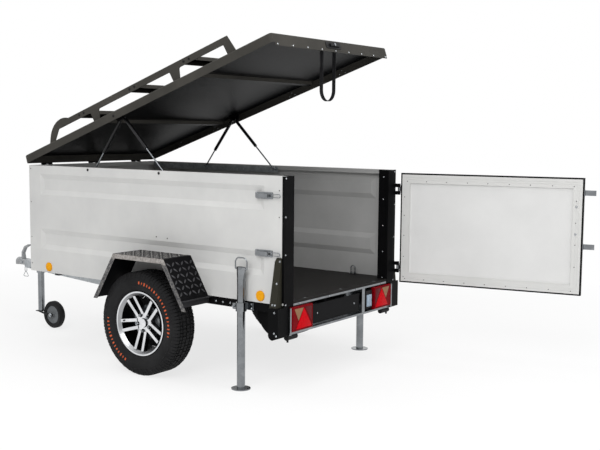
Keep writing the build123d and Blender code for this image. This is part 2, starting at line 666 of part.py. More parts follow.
def tyre_shape():
    """Carcass with bulged sidewalls and a grooved crown."""
    half, tread = TYRE_WIDTH / 2, TREAD_WIDTH / 2
    bead = RIM_WIDTH / 2 - RIM_SHEET - RUNNING_GAP
    seat = RIM_SEAT_RADIUS + RUNNING_GAP
    clear = RIM_FLANGE_RADIUS + 2.0
    crown, shoulder = TYRE_RADIUS, TYRE_RADIUS - 12.0
    low, high, run = half - bead, half - tread - 6.0, shoulder - clear
    term = low * low * high - low * run * run - low * high * high
    waist = clear + (low * run - (low * low * run * run - (high - low) * term) ** 0.5) / (low - high)
    outline = [Line((seat, -bead), (seat, bead)), Line((seat, bead), (clear, bead)),
               ThreePointArc((clear, bead), (waist, half), (shoulder, tread + 6.0)),
               Line((shoulder, tread + 6.0), (crown, tread - 6.0)), Line((crown, tread - 6.0), (crown, -tread + 6.0)),
               Line((crown, -tread + 6.0), (shoulder, -tread - 6.0)),
               ThreePointArc((shoulder, -tread - 6.0), (waist, -half), (clear, -bead)),
               Line((clear, -bead), (seat, -bead))]
    tyre = spun(outline)
    for place in (-TREAD_WIDTH / 5, TREAD_WIDTH / 5):
        ring = Rot(90, 0, 0) * Cylinder(crown + GROOVE_WIDTH, GROOVE_WIDTH)
        ring -= Rot(90, 0, 0) * Cylinder(crown - GROOVE_DEPTH, 2 * GROOVE_WIDTH)
        tyre -= Pos(0, place, 0) * ring
    return tyre


def rim_shape():
    """Barrel with two flanges, five pairs of spokes on a dished face, hub and cap."""
    half, t = RIM_WIDTH / 2, RIM_SHEET
    flange, seat = RIM_FLANGE_RADIUS, RIM_SEAT_RADIUS
    barrel = spun(Polyline((flange, half), (flange, half - t), (seat, half - t), (seat, t - half), (flange, t - half),
                           (flange, -half), (seat - t, -half), (seat - t, half - 2 * t), (flange - t, half),
                           close=True))
    face_rim, face_hub = half - 10.0, half - 34.0
    envelope = spun(Polyline((0, face_hub), (WHEEL_HUB_RADIUS, face_hub + 2.0), (seat - t + 1.0, face_rim),
                             (seat - t + 1.0, face_rim - SPOKE_DEPTH), (WHEEL_HUB_RADIUS, face_hub - SPOKE_DEPTH),
                             (0, face_hub - SPOKE_DEPTH), close=True))
    spokes = []
    inner, outer = WHEEL_HUB_RADIUS - 8.0, seat - t + 6.0
    for pair in range(SPOKE_PAIRS):
        for hand in (-1, 1):
            middle = FIRST_PAIR + pair * 360 / SPOKE_PAIRS
            hub_angle = radians(middle + hand * SPOKE_HALF_ANGLE_HUB)
            rim_angle = radians(middle + hand * SPOKE_HALF_ANGLE_RIM)
            start = Vector(inner * cos(hub_angle), 0, inner * sin(hub_angle))
            end = Vector(outer * cos(rim_angle), 0, outer * sin(rim_angle))
            run = (end - start).normalized()
            across = Vector(-run.Z, 0, run.X) * (SPOKE_WIDTH / 2)
            spokes.append(prism([start + across, end + across, end - across, start - across], (0, RIM_WIDTH / 2, 0)))
    face = envelope & (spokes[0] + spokes[1:])
    hub = Pos(0, face_hub - SPOKE_DEPTH / 2 - 2.0, 0) * Rot(90, 0, 0) * Cylinder(WHEEL_HUB_RADIUS, SPOKE_DEPTH)
    cap = Pos(0, face_hub - 2.0, 0) * Rot(90, 0, 0) * Cone(CAP_RADIUS, CAP_RADIUS + 4.0, 16.0)
    return barrel + face + hub + cap


def hub_shape():
    """Brake drum with a blind bore for the stub axle."""
    face = RIM_WIDTH / 2 - 34.0 - SPOKE_DEPTH - 2.0
    back = HALF_WIDTH - AXLE_END_INSET + SWING_THICKNESS - TYRE_MIDDLE + 6.0
    drum = bar((0, face, 0), (0, face - 62.0, 0), DRUM_RADIUS)
    neck = bar((0, face - 62.0, 0), (0, back, 0), STUB_RADIUS + 26.0)
    bore = bar((0, back, 0), (0, RUNNING_GAP, 0), STUB_RADIUS + RUNNING_GAP)
    return drum + neck - bore


# Fenders

def fender(side):
    """Three flat faces of plate with a turned-down outer edge, open below."""
    middle = AXLE_X - FENDER_BEHIND_AXLE
    top, foot = WALL_BOTTOM + FENDER_TOP, WALL_BOTTOM + FENDER_FOOT
    half_top, half_foot = FENDER_TOP_LENGTH / 2, FENDER_FOOT_LENGTH / 2
    slope = atan2(top - foot, half_foot - half_top)

    def outline(inset, y):
        shoulder = half_top - inset * tan(slope / 2)
        ankle = half_foot - inset / sin(slope)
        return [(middle + ankle, y, foot), (middle + shoulder, y, top - inset), (middle - shoulder, y, top - inset),
                (middle - ankle, y, foot)]

    wall = side * HALF_WIDTH
    rim = wall + side * FENDER_WIDTH
    shell = prism(outline(0, wall), (0, side * FENDER_WIDTH, 0))
    hollow = prism(outline(FENDER_SHEET, wall), (0, side * (FENDER_WIDTH - FENDER_SHEET), 0))
    mouth = prism(outline(FENDER_LIP, wall), (0, side * FENDER_WIDTH, 0))
    behind = block(middle - half_foot - 1.0, middle - half_top, wall, rim - side * FENDER_SHEET, foot - 1.0,
                   WALL_BOTTOM - FENDER_REAR_CUT)
    return shell - hollow - mouth - behind


# Prop legs

def leg_clamp(side):
    """Split clamp on a bracket that is bolted to the rear rail."""
    z1 = WALL_BOTTOM - CLAMP_TOP
    z0 = z1 - CLAMP_HEIGHT
    y = side * LEG_Y
    radius = LEG_DIAMETER / 2
    rail = side * (HALF_WIDTH - RAIL_INSET)
    half = CLAMP_EAR_WIDTH / 2
    ring = bar((LEG_X, y, z0), (LEG_X, y, z1), radius + CLAMP_WALL)
    ring += block(LEG_X - CLAMP_FOOT, LEG_X + 2 * CLAMP_WALL, rail, y, z0 + CLAMP_WALL / 2, z1 - CLAMP_WALL / 2) \
        - block(LEG_X - CLAMP_FOOT - 1.0, LEG_X - 2 * CLAMP_WALL, rail + side * RAIL_INSET, y, z0, z1)
    ear = LEG_X + radius + CLAMP_EAR
    ears = block(LEG_X + radius, ear, y - half, y + half, z0 + CLAMP_WALL, z1 - CLAMP_WALL)
    bolt = bar((ear - CLAMP_BOLT, y - 2 * half, (z0 + z1) / 2), (ear - CLAMP_BOLT, y + 2 * half, (z0 + z1) / 2),
               CLAMP_BOLT / 2)
    slit = block(LEG_X, ear + 1.0, y - CLAMP_SLIT / 2, y + CLAMP_SLIT / 2, z0, z1)
    bore = bar((LEG_X, y, z0 - 1.0), (LEG_X, y, z1 + 1.0), radius + RUNNING_GAP)
    return (ring + ears - slit) + bolt - bore


def prop_leg(side):
    """Tube with a round foot plate and a wire handle."""
    y = side * LEG_Y
    radius = LEG_DIAMETER / 2
    top = WALL_BOTTOM + LEG_TOP
    bend = top - LEG_FLAT_LENGTH
    leg = tube((LEG_X, y, GROUND), (LEG_X, y, bend), radius, LEG_WALL)

    def flattened(inset):
        low, high = Plane((LEG_X, y, bend)), Plane((LEG_X, y, top))
        return loft([low * Circle(radius - inset),
                     high * Ellipse(LEG_FLAT_WIDTH / 2 - inset, LEG_FLAT_DEPTH / 2 - inset)])

    leg += flattened(0) - flattened(LEG_WALL)
    foot = bar((LEG_X, y, GROUND), (LEG_X, y, GROUND + LEG_FOOT_THICKNESS), LEG_FOOT_DIAMETER / 2)
    half = LEG_HANDLE_WIDTH / 2
    base = top - 12.0
    handle = bent_wire([(LEG_X - half, y, base), (LEG_X - half, y, top + LEG_HANDLE_HEIGHT - LEG_WIRE / 2),
                        (LEG_X + half, y, top + LEG_HANDLE_HEIGHT - LEG_WIRE / 2), (LEG_X + half, y, base)],
                       LEG_HANDLE_HEIGHT / 2, LEG_WIRE)
    pin = bar((LEG_X - half, y, base), (LEG_X + half, y, base), LEG_WIRE / 2)
    return leg + foot + handle + pin


# Drawbar nose: coupling, chain, jockey wheel

def coupling_head():
    """Pressed head with a ball socket that opens downwards, on a square neck."""
    outer = BALL_SOCKET + SOCKET_WALL
    head = bar((0, 0, -SOCKET_DEPTH), (0, 0, 0), outer)
    head += Solid.make_sphere(outer, Plane.XY, 0, 90, 360)
    neck_z = ARM_TOP_Z - ARM_HEIGHT / 2
    neck = block(ARM_NOSE_X, -14.0, -NECK_WIDTH / 2, NECK_WIDTH / 2, neck_z - NECK_HEIGHT / 2,
                 neck_z + NECK_HEIGHT / 2)
    neck = fillet(neck.edges().filter_by(Axis.X), 9.0)
    socket = bar((0, 0, -SOCKET_DEPTH - 40.0), (0, 0, 0), BALL_SOCKET)
    socket += Solid.make_sphere(BALL_SOCKET, Plane.XY, 0, 90, 360)
    return head + neck - socket


def coupling_handle():
    """Curved lever on the head, raised towards the box."""
    z = ARM_TOP_Z - ARM_HEIGHT / 2 + NECK_HEIGHT / 2
    points = [(-36.0, z), (-36.0, z + 50.0), (-68.0, z + 98.0), (-118.0, z + 119.0), (-121.0, z + 107.0),
              (-76.0, z + 84.0), (-52.0, z + 42.0), (-62.0, z)]
    lever = round_prism([(x, -HANDLE_WIDTH / 2, h) for x, h in points], 5.0, (0, HANDLE_WIDTH, 0))
    return lever


def safety_chain():
    """Two links and a wire ring that hang from the neck."""
    x, z = -70.0, ARM_TOP_Z - ARM_HEIGHT / 2 - NECK_HEIGHT / 2
    wire = CHAIN_WIRE
    lug = bent_wire([(x - 12.0, 0, z), (x - 12.0, 0, z - 20.0), (x + 12.0, 0, z - 20.0), (x + 12.0, 0, z)], 9.0, wire)
    link_top = z - 20.0 + wire + 0.3
    link = bent_wire([(x, -9.0, link_top), (x, 9.0, link_top), (x, 9.0, link_top - 40.0), (x, -9.0, link_top - 40.0)],
                     8.0, wire, closed=True)
    ring_top = link_top - 40.0 + wire + 0.3
    ring = bent_wire([(x, 0, ring_top), (x - 34.0, 0, ring_top - 44.0), (x + 34.0, 0, ring_top - 44.0)], 7.0, wire,
                     closed=True)
    return group(lug, link, ring)


def jockey_clamp():
    """Clamp ring on a saddle beside the left drawbar arm."""
    z1, z0 = ARM_TOP_Z - 2.0, ARM_TOP_Z - ARM_HEIGHT + 2.0
    radius = JOCKEY_TUBE / 2
    face = arm_y(JOCKEY_X) + ARM_WIDTH / 2 * ARM_SKEW
    ring = bar((JOCKEY_X, JOCKEY_Y, z0), (JOCKEY_X, JOCKEY_Y, z1), radius + CLAMP_WALL)
    reach = 26.0
    saddle = prism([(JOCKEY_X - reach, face + ARM_SPREAD * reach, z0), (JOCKEY_X + reach, face - ARM_SPREAD * reach, z0),
                    (JOCKEY_X + reach, JOCKEY_Y, z0), (JOCKEY_X - reach, JOCKEY_Y, z0)], (0, 0, z1 - z0))
    lever = bar((JOCKEY_X + radius + 6.0, JOCKEY_Y + radius, (z0 + z1) / 2),
                (JOCKEY_X + radius + 6.0, JOCKEY_Y + radius + 46.0, (z0 + z1) / 2 + 12.0), 6.0)
    ear = block(JOCKEY_X + 4.0, JOCKEY_X + radius + 18.0, JOCKEY_Y + 6.0, JOCKEY_Y + radius + 4.0, z0 + 14.0, z1 - 14.0)
    bore = bar((JOCKEY_X, JOCKEY_Y, z0 - 1.0), (JOCKEY_X, JOCKEY_Y, z1 + 1.0), radius + RUNNING_GAP)
    return ring + saddle + ear + lever - bore


def jockey_tube():
    """Clamped outer tube with the crank and its grip on top."""
    top, bottom = WALL_BOTTOM + JOCKEY_TOP, WALL_BOTTOM - JOCKEY_BOTTOM
    x, y = JOCKEY_X, JOCKEY_Y
    outer = tube((x, y, bottom), (x, y, top), JOCKEY_TUBE / 2, 3.0)
    cap = bar((x, y, top), (x, y, top + 10.0), JOCKEY_TUBE / 2)
    crank = bar((x, y, top + 10.0), (x, y, top + 24.0), 8.0)
    crank += block(x - 8.0, x + CRANK_REACH + 8.0, y - 8.0, y + 8.0, top + 24.0, top + 32.0)
    grip = bar((x + CRANK_REACH, y, top + 32.0), (x + CRANK_REACH, y, top + 32.0 + CRANK_GRIP), 12.0)
    return outer + cap + crank + grip


def jockey_fork():
    """Swivel stem, crown and two cheeks that trail behind the tube."""
    x, y = JOCKEY_X, JOCKEY_Y
    bottom = WALL_BOTTOM - JOCKEY_BOTTOM
    stem = bar((x, y, bottom - 0.4), (x, y, bottom + FORK_STEM), JOCKEY_TUBE / 2 - 3.0 - RUNNING_GAP)
    cheek_y = JOCKEY_WHEEL_WIDTH / 2 + FORK_GAP + FORK_SHEET
    crown_top = bottom - 0.4
    crown = block(x - 26.0, x + 28.0, y - cheek_y, y + cheek_y, crown_top - FORK_SHEET, crown_top)
    fork = stem + crown
    for hand in (1, -1):
        outline = [(x + 28.0, crown_top), (x - 26.0, crown_top), (JOCKEY_WHEEL_X - 17.0, JOCKEY_WHEEL_Z + 6.0),
                   (JOCKEY_WHEEL_X - 12.0, JOCKEY_WHEEL_Z - 14.0), (JOCKEY_WHEEL_X + 12.0, JOCKEY_WHEEL_Z - 14.0)]
        fork += prism([(px, y + hand * (cheek_y - FORK_SHEET), pz) for px, pz in outline], (0, hand * FORK_SHEET, 0))
    fork += bar((JOCKEY_WHEEL_X, y - cheek_y - 6.0, JOCKEY_WHEEL_Z), (JOCKEY_WHEEL_X, y + cheek_y + 6.0, JOCKEY_WHEEL_Z),
                JOCKEY_AXLE)
    return fork


def jockey_wheel():
    """Solid tyre on a dished hub, with a bore for the fork's axle."""
    half, radius = JOCKEY_WHEEL_WIDTH / 2, JOCKEY_WHEEL / 2
    bore = JOCKEY_AXLE + RUNNING_GAP
    outline = Polyline((bore, -half - 3.0), (bore + 12.0, -half - 3.0), (bore + 16.0, -half + 10.0),
                       (radius - 36.0, -half + 10.0), (radius - 32.0, -half + 2.0), (radius - 10.0, -half),
                       (radius, -half + 12.0), (radius, half - 12.0), (radius - 10.0, half), (radius - 32.0, half - 2.0),
                       (radius - 36.0, half - 10.0), (bore + 16.0, half - 10.0), (bore + 12.0, half + 3.0),
                       (bore, half + 3.0), close=True)
    return Pos(JOCKEY_WHEEL_X, JOCKEY_Y, JOCKEY_WHEEL_Z) * spun(outline)


# Lid, drawn closed and then opened

def lid_shell():
    """Sheet tray with rounded edges, open below, with a deeper rear apron."""
    rear = LID_FRONT - LID_LENGTH
    top = LID_BOTTOM + LID_HEIGHT
    body = block(rear, LID_FRONT, -LID_HALF_WIDTH, LID_HALF_WIDTH, LID_BOTTOM, top)
    body = fillet(body.edges().filter_by(Axis.Z), LID_CORNER_RADIUS)
    body = fillet(body.faces().sort_by(Axis.Z)[-1].edges(), LID_EDGE_RADIUS)
    hollow = block(rear + LID_SHEET, LID_FRONT - LID_SHEET, LID_SHEET - LID_HALF_WIDTH, LID_HALF_WIDTH - LID_SHEET,
                   LID_BOTTOM - 1.0, top - LID_SHEET)
    hollow = fillet(hollow.edges().filter_by(Axis.Z), LID_CORNER_RADIUS - LID_SHEET)
    hollow = fillet(hollow.faces().sort_by(Axis.Z)[-1].edges(), LID_EDGE_RADIUS - LID_SHEET)
    reach = LID_HALF_WIDTH - LID_CORNER_RADIUS
    apron = block(rear, rear + LID_SHEET, -reach, reach, LID_BOTTOM - LID_APRON, LID_BOTTOM + 1.0)
    return body - hollow + apron


def lid_rib(place):
    """Hat section across the underside of the lid."""
    x = LID_AXIS_X - place
    top = LID_BOTTOM + LID_HEIGHT - LID_SHEET - SEAT_GAP
    half, brim, t = RIB_WIDTH / 2, 14.0, RIB_SHEET
    reach = LID_HALF_WIDTH - LID_SHEET - RIB_END_GAP
    outline = [(x - half, top), (x - half, top - t), (x - half + brim, top - t), (x - half + brim + 6.0, top - RIB_DEPTH),
               (x + half - brim - 6.0, top - RIB_DEPTH), (x + half - brim, top - t), (x + half, top - t), (x + half, top),
               (x + half - brim - t, top), (x + half - brim - 6.0 - t, top - RIB_DEPTH + t),
               (x - half + brim + 6.0 + t, top - RIB_DEPTH + t), (x - half + brim + t, top)]
    return prism([(px, -reach, pz) for px, pz in outline], (0, 2 * reach, 0))


def rack_rail(side):
    """Plate rail with a swept front, three windows between its posts and foot flanges."""
    base = LID_BOTTOM + LID_HEIGHT
    top = base + RACK_HEIGHT
    y = side * (LID_HALF_WIDTH - RACK_INSET)
    ahead = LID_AXIS_X

    def at(along, rise):
        return (ahead - along, y, base + rise)

    under = RACK_HEIGHT - RACK_BAR_DEPTH
    bend = RACK_FRONT + RACK_FRONT_RUN
    foot = RACK_FRONT + RACK_POST_WIDTH
    outer = [Line(at(RACK_FRONT, 0), at(RACK_FRONT + 24.0, 46.0)),
             TangentArc(at(RACK_FRONT + 24.0, 46.0), at(bend, RACK_HEIGHT), tangent=(-24.0, 0, 46.0)),
             Line(at(bend, RACK_HEIGHT), at(RACK_REAR - RACK_REAR_RUN, RACK_HEIGHT)),
             Line(at(RACK_REAR - RACK_REAR_RUN, RACK_HEIGHT), at(RACK_REAR, 0)),
             Line(at(RACK_REAR, 0), at(RACK_FRONT, 0))]
    rail = extrude(make_face(outer), amount=RACK_PLATE, dir=(0, -side, 0))
    edges = [foot] + [p + w for p in RACK_POSTS for w in (-RACK_POST_WIDTH / 2, RACK_POST_WIDTH / 2)]
    edges.append(RACK_REAR - RACK_REAR_RUN - RACK_POST_WIDTH / 2)
    lean = 16.0
    for start, end in zip(edges[0::2], edges[1::2]):
        low = 70.0 if start == foot else lean
        window = [at(start, -4.0), at(start + low, under), at(end - lean, under), at(end, -4.0)]
        rail -= round_prism([(x, y + side, z) for x, _, z in window], 12.0, (0, -side * (RACK_PLATE + 2.0), 0))
    feet = [(RACK_FRONT + 4.0, foot - 4.0), (edges[-1] + 4.0, RACK_REAR - 4.0)]
    feet += [(p - RACK_POST_WIDTH / 2 + 4.0, p + RACK_POST_WIDTH / 2 - 4.0) for p in RACK_POSTS]
    for start, end in feet:
        rail += block(ahead - start, ahead - end, y - side * RACK_PLATE, y - side * RACK_FOOT_FLANGE, base, base + 4.0)
        rail += block(ahead - start, ahead - end, y, y - side * RACK_PLATE, base, base + 4.0)
    return rail


def crossbar(place):
    """Folded bar between the two rails, open below."""
    x = LID_AXIS_X - place
    half = CROSSBAR_WIDTH / 2
    top = LID_BOTTOM + LID_HEIGHT + RACK_HEIGHT - 6.0
    reach = LID_HALF_WIDTH - RACK_INSET - RACK_PLATE
    t = CROSSBAR_SHEET
    solid = block(x - half, x + half, -reach, reach, top - CROSSBAR_HEIGHT, top)
    solid = fillet(solid.faces().sort_by(Axis.Z)[-1].edges().filter_by(Axis.Y), 6.0)
    return solid - block(x - half + t, x + half - t, -reach + t, reach - t, top - CROSSBAR_HEIGHT - 1.0, top - t)


def hinge_parts(y):
    """One lid hinge: the wall's leaf with its pin, and the lid's barrel with its leaf."""
    x, z = LID_AXIS_X, LID_BOTTOM
    third = HINGE_LENGTH / 3
    gap = RUNNING_GAP
    leaf_x = BOX_FRONT + HINGE_LEAF
    leaf = block(BOX_FRONT, leaf_x, y - HINGE_LENGTH / 2, y + HINGE_LENGTH / 2, z - 62.0, WALL_TOP - 8.0)
    pin = bar((x, y - HINGE_LENGTH / 2, z), (x, y + HINGE_LENGTH / 2, z), HINGE_PIN)
    for start in (-HINGE_LENGTH / 2, HINGE_LENGTH / 2 - third):
        pin += bar((x, y + start, z), (x, y + start + third, z), HINGE_BARREL)
        leaf += prism([(BOX_FRONT, y + start, WALL_TOP - 12.0), (leaf_x, y + start, WALL_TOP - 20.0),
                       (x + HINGE_BARREL - 1.0, y + start, z - 3.0), (x - 2.0, y + start, z - 3.0)], (0, third, 0))
    fixed = leaf + pin
    barrel = bar((x, y - third / 2 + gap, z), (x, y + third / 2 - gap, z), HINGE_BARREL)
    barrel += block(LID_FRONT, LID_FRONT + HINGE_LEAF, y - third / 2 + gap, y + third / 2 - gap, z - 1.0, z + 34.0)
    barrel -= bar((x, y - third, z), (x, y + third, z), HINGE_PIN + gap)
    return fixed, barrel


def lid_hinge_leaves():
    return group(*[hinge_parts(y)[0] for y in HINGE_PLACES])


def lid_hinge_barrels():
    return group(*[hinge_parts(y)[1] for y in HINGE_PLACES])


def lid_lock():
    """Escutcheon with a folding handle on the rear edge of the lid."""
    rear = LID_FRONT - LID_LENGTH
    z = LID_BOTTOM + LID_HEIGHT / 2 - 6.0
    plate = block(rear - 4.0, rear, LOCK_PLACE - 78.0, LOCK_PLACE + 78.0, z - 20.0, z + 20.0)
    plate = fillet(plate.edges().filter_by(Axis.X), 8.0)
    grip = block(rear - 14.0, rear - 4.0, LOCK_PLACE - 62.0, LOCK_PLACE + 40.0, z - 9.0, z + 11.0)
    grip = fillet(grip.edges().filter_by(Axis.X), 6.0)
    return plate + grip


def pull_strap():
    """Webbing loop that hangs from the rear edge of the open lid."""
    x, z = lid_point(STRAP_PLACE, LID_HEIGHT - LID_SHEET)
    rear_x, rear_z = lid_point(STRAP_PLACE + STRAP_WIDTH, LID_HEIGHT - LID_SHEET)
    half, t = STRAP_SPAN / 2, STRAP_THICKNESS
    bottom = z - STRAP_DROP

    def loop(inset):
        r = half - inset
        return [Line((x, STRAP_SIDE - r, rear_z), (x, STRAP_SIDE - r, bottom + half)),
                ThreePointArc((x, STRAP_SIDE - r, bottom + half), (x, STRAP_SIDE, bottom + inset),
                              (x, STRAP_SIDE + r, bottom + half)),
                Line((x, STRAP_SIDE + r, bottom + half), (x, STRAP_SIDE + r, rear_z)),
                Line((x, STRAP_SIDE + r, rear_z), (x, STRAP_SIDE - r, rear_z))]

    run = (rear_x - x, 0, 0)
    webbing = extrude(make_face(loop(0)), amount=abs(rear_x - x), dir=run)
    webbing -= extrude(make_face(loop(t)), amount=abs(rear_x - x), dir=run)
    a = radians(LID_ANGLE)
    above = [(x + 60.0, STRAP_SIDE - half - 1.0, z - 60.0 * tan(a)), (x - 90.0, STRAP_SIDE - half - 1.0, z + 90.0 * tan(a)),
             (x - 90.0, STRAP_SIDE - half - 1.0, z + 200.0), (x + 60.0, STRAP_SIDE - half - 1.0, z + 200.0)]
    return webbing - prism(above, (0, STRAP_SPAN + 2.0, 0))


# Gas struts

def pivot_along(end):
    """Lid pivot of a front (0) or rear (1) strut, from the hinge along the lid."""
    return PIVOT_PLACE + (end - 0.5) * PIVOT_SPACING


def strut_ends(end):
    """Lid pivot and wall stud of a strut with the lid open, as X, Z pairs."""
    stud = (BOX_FRONT - STUD_PLACES[end], WALL_BOTTOM + STUD_HEIGHT)
    return lid_point(pivot_along(end), PIVOT_RISE), stud


def strut_line(end, side, distance):
    """A point on the strut's axis, counted from its lid pivot."""
    (px, pz), (sx, sz) = strut_ends(end)
    length = hypot(sx - px, sz - pz)
    return (px + (sx - px) * distance / length, side * STRUT_Y, pz + (sz - pz) * distance / length)


def eye(point, hole):
    """Flat eye across the trailer, with a hole for its pin."""
    x, y, z = point
    ring = bar((x, y - EYE_WIDTH / 2, z), (x, y + EYE_WIDTH / 2, z), EYE_RADIUS)
    if hole:
        ring -= bar((x, y - EYE_WIDTH, z), (x, y + EYE_WIDTH, z), hole)
    return ring


def strut_barrel(end, side):
    start = EYE_RADIUS - 1.0
    barrel = bar(strut_line(end, side, start + 8.0), strut_line(end, side, STRUT_LENGTH), STRUT_RADIUS)
    shank = bar(strut_line(end, side, start), strut_line(end, side, start + 8.0), ROD_RADIUS + 1.0)
    bore = bar(strut_line(end, side, start + 14.0), strut_line(end, side, STRUT_LENGTH + 1.0), ROD_RADIUS + RUNNING_GAP)
    return eye(strut_line(end, side, 0), STUD_RADIUS + RUNNING_GAP) + shank + barrel - bore


def strut_rod(end, side):
    (px, pz), (sx, sz) = strut_ends(end)
    length = hypot(sx - px, sz - pz)
    rod = bar(strut_line(end, side, length - ROD_LENGTH), strut_line(end, side, length - EYE_RADIUS + 1.0), ROD_RADIUS)
    return rod + eye(strut_line(end, side, length), 0)


def strut_pivot(side):
    """Bracket under the lid with the two pivot pins."""
    y = side * (STRUT_Y + STRUT_RADIUS + 4.0)
    pins = []
    low = LID_BOTTOM + PIVOT_RISE - STUD_RADIUS - 5.0
    top = LID_BOTTOM + LID_HEIGHT - LID_SHEET - SEAT_GAP
    front = LID_AXIS_X - pivot_along(0) + 20.0
    rear = LID_AXIS_X - pivot_along(1) - 20.0
    plate = round_prism([(front, y, low), (rear, y, low), (rear - 16.0, y, top), (front + 16.0, y, top)], 3.0,
                        (0, side * 4.0, 0))
    flange = block(front + 12.0, rear - 12.0, y + side * 4.0, y + side * 30.0, top - 4.0, top)
    for end in (0, 1):
        x, z = LID_AXIS_X - pivot_along(end), LID_BOTTOM + PIVOT_RISE
        pins.append(bar((x, y, z), (x, side * (STRUT_Y - EYE_WIDTH / 2 - 2.0), z), STUD_RADIUS))
    return plate + flange + pins


def strut_rail(side):
    """Flat rail on the wall's inner lip, with the studs for the rod eyes."""
    y1 = side * (HALF_WIDTH - TOP_FLANGE)
    y0 = y1 - side * STRUT_RAIL_SHEET
    z0 = WALL_BOTTOM + STUD_HEIGHT - STRUT_RAIL_HEIGHT / 2 - 6.0
    rail = block(BOX_FRONT - TOP_FLANGE, BOX_FRONT - STUD_PLACES[1] - 24.0, y0, y1, z0, z0 + STRUT_RAIL_HEIGHT)
    for end in (0, 1):
        x, z = strut_ends(end)[1]
        rail += bar((x, y0, z), (x, side * (STRUT_Y + EYE_WIDTH / 2 + 0.4), z), STUD_RADIUS)
    return rail


# Rear door, drawn closed and then opened

def door_limits():
    """Sides, lower edge and upper edge of the door."""
    return (DOOR_HINGE_SIDE_GAP - HALF_WIDTH, HALF_WIDTH - DOOR_FREE_INSET,
            WALL_BOTTOM + DOOR_BOTTOM, WALL_BOTTOM + DOOR_TOP)


def door_ring(x0, x1, inset, width):
    """A rectangular frame inside the door's outline."""
    y0, y1, z0, z1 = door_limits()
    ring = block(x0, x1, y0 + inset, y1 - inset, z0 + inset, z1 - inset)
    hole = inset + width
    return ring - block(x0 - 1.0, x1 + 1.0, y0 + hole, y1 - hole, z0 + hole, z1 - hole)


def door_panel():
    y0, y1, z0, z1 = door_limits()
    return block(DOOR_OUTER + 1.0, DOOR_INNER - DOOR_FRAME_DEPTH, y0 + DOOR_EDGE, y1 - DOOR_EDGE, z0 + DOOR_EDGE,
                 z1 - DOOR_EDGE)


def door_hinge_parts(height):
    """One door hinge: the post's leaf with its pin, and the door's leaf with its barrel."""
    third = DOOR_HINGE_LENGTH / 3
    x, y = DOOR_AXIS_X, DOOR_AXIS_Y
    z = WALL_BOTTOM + height - DOOR_HINGE_LENGTH / 2
    gap = RUNNING_GAP
    face = -HALF_WIDTH - POST_SHEET
    pin = bar((x, y, z), (x, y, z + DOOR_HINGE_LENGTH), DOOR_PIN)
    leaf = block(BOX_REAR - 1.0, BOX_REAR + POST_OUTER_FLANGE, face, face - HINGE_LEAF, z, z + DOOR_HINGE_LENGTH)
    for start in (z, z + 2 * third):
        pin += bar((x, y, start), (x, y, start + third), DOOR_BARREL)
        leaf += block(x, BOX_REAR, y + DOOR_BARREL - HINGE_LEAF - 1.0, y + DOOR_BARREL - 1.0, start, start + third)
        leaf += block(BOX_REAR - 2.0, BOX_REAR + 4.0, y + DOOR_BARREL - HINGE_LEAF - 1.0, face, start, start + third)
    edge = DOOR_HINGE_SIDE_GAP - HALF_WIDTH
    barrel = bar((x, y, z + third + gap), (x, y, z + 2 * third - gap), DOOR_BARREL)
    barrel += block(x - 4.0, x + 4.0, y, edge, z + third + gap, z + 2 * third - gap)
    barrel += block(DOOR_OUTER + 3.0, DOOR_INNER - 3.0, edge - HINGE_LEAF, edge, z + third + gap - 14.0,
                    z + 2 * third - gap + 14.0)
    barrel -= bar((x, y, z), (x, y, z + DOOR_HINGE_LENGTH), DOOR_PIN + gap)
    return leaf + pin, barrel


def post_hinges():
    return group(*[door_hinge_parts(height)[0] for height in DOOR_HINGES])


def door_hinges():
    return group(*[door_hinge_parts(height)[1] for height in DOOR_HINGES])


def toggle_latch(height):
    """Base plate, folded lever and wire bail on the left wall."""
    x1 = BOX_REAR + LATCH_AHEAD
    x0 = x1 - LATCH_LENGTH
    z = WALL_BOTTOM + height
    y = HALF_WIDTH
    half = LATCH_HEIGHT / 2
    base = block(x0, x1, y, y + 4.0, z - half, z + half)
    base = fillet(base.edges().filter_by(Axis.Y), 6.0)
    lever = round_prism([(x1 - 8.0, y + 4.0, z - half + 8.0), (x1 - 8.0, y + 18.0, z - half + 8.0),
                         (x0 + 26.0, y + 24.0, z - half + 8.0), (x0 + 20.0, y + 4.0, z - half + 8.0)], 3.0,
                        (0, 0, LATCH_HEIGHT - 16.0))
    tip = x0 - LATCH_BAIL
    hook = bent_wire([(x0 + 24.0, y + 14.0, z - 9.0), (tip, y + 14.0, z - 9.0), (tip, y + 14.0, z + 9.0),
                      (x0 + 24.0, y + 14.0, z + 9.0)], 6.0, 5.0)
    return base + lever + hook


def door_keeper(height):
    """Hook on the free edge of the door that the latch pulls on."""
    z = WALL_BOTTOM + height
    y = HALF_WIDTH - DOOR_FREE_INSET
    x0, x1 = DOOR_OUTER + 4.0, DOOR_INNER - 4.0
    plate = block(x0, x1, y, y + 4.0, z - KEEPER_HEIGHT / 2, z + KEEPER_HEIGHT / 2)
    tongue = block(x0, x0 + 5.0, y + 4.0, HALF_WIDTH + KEEPER_PAST_WALL, z - KEEPER_HEIGHT / 2 + 4.0, z + KEEPER_HEIGHT / 2 - 4.0)
    return plate + tongue


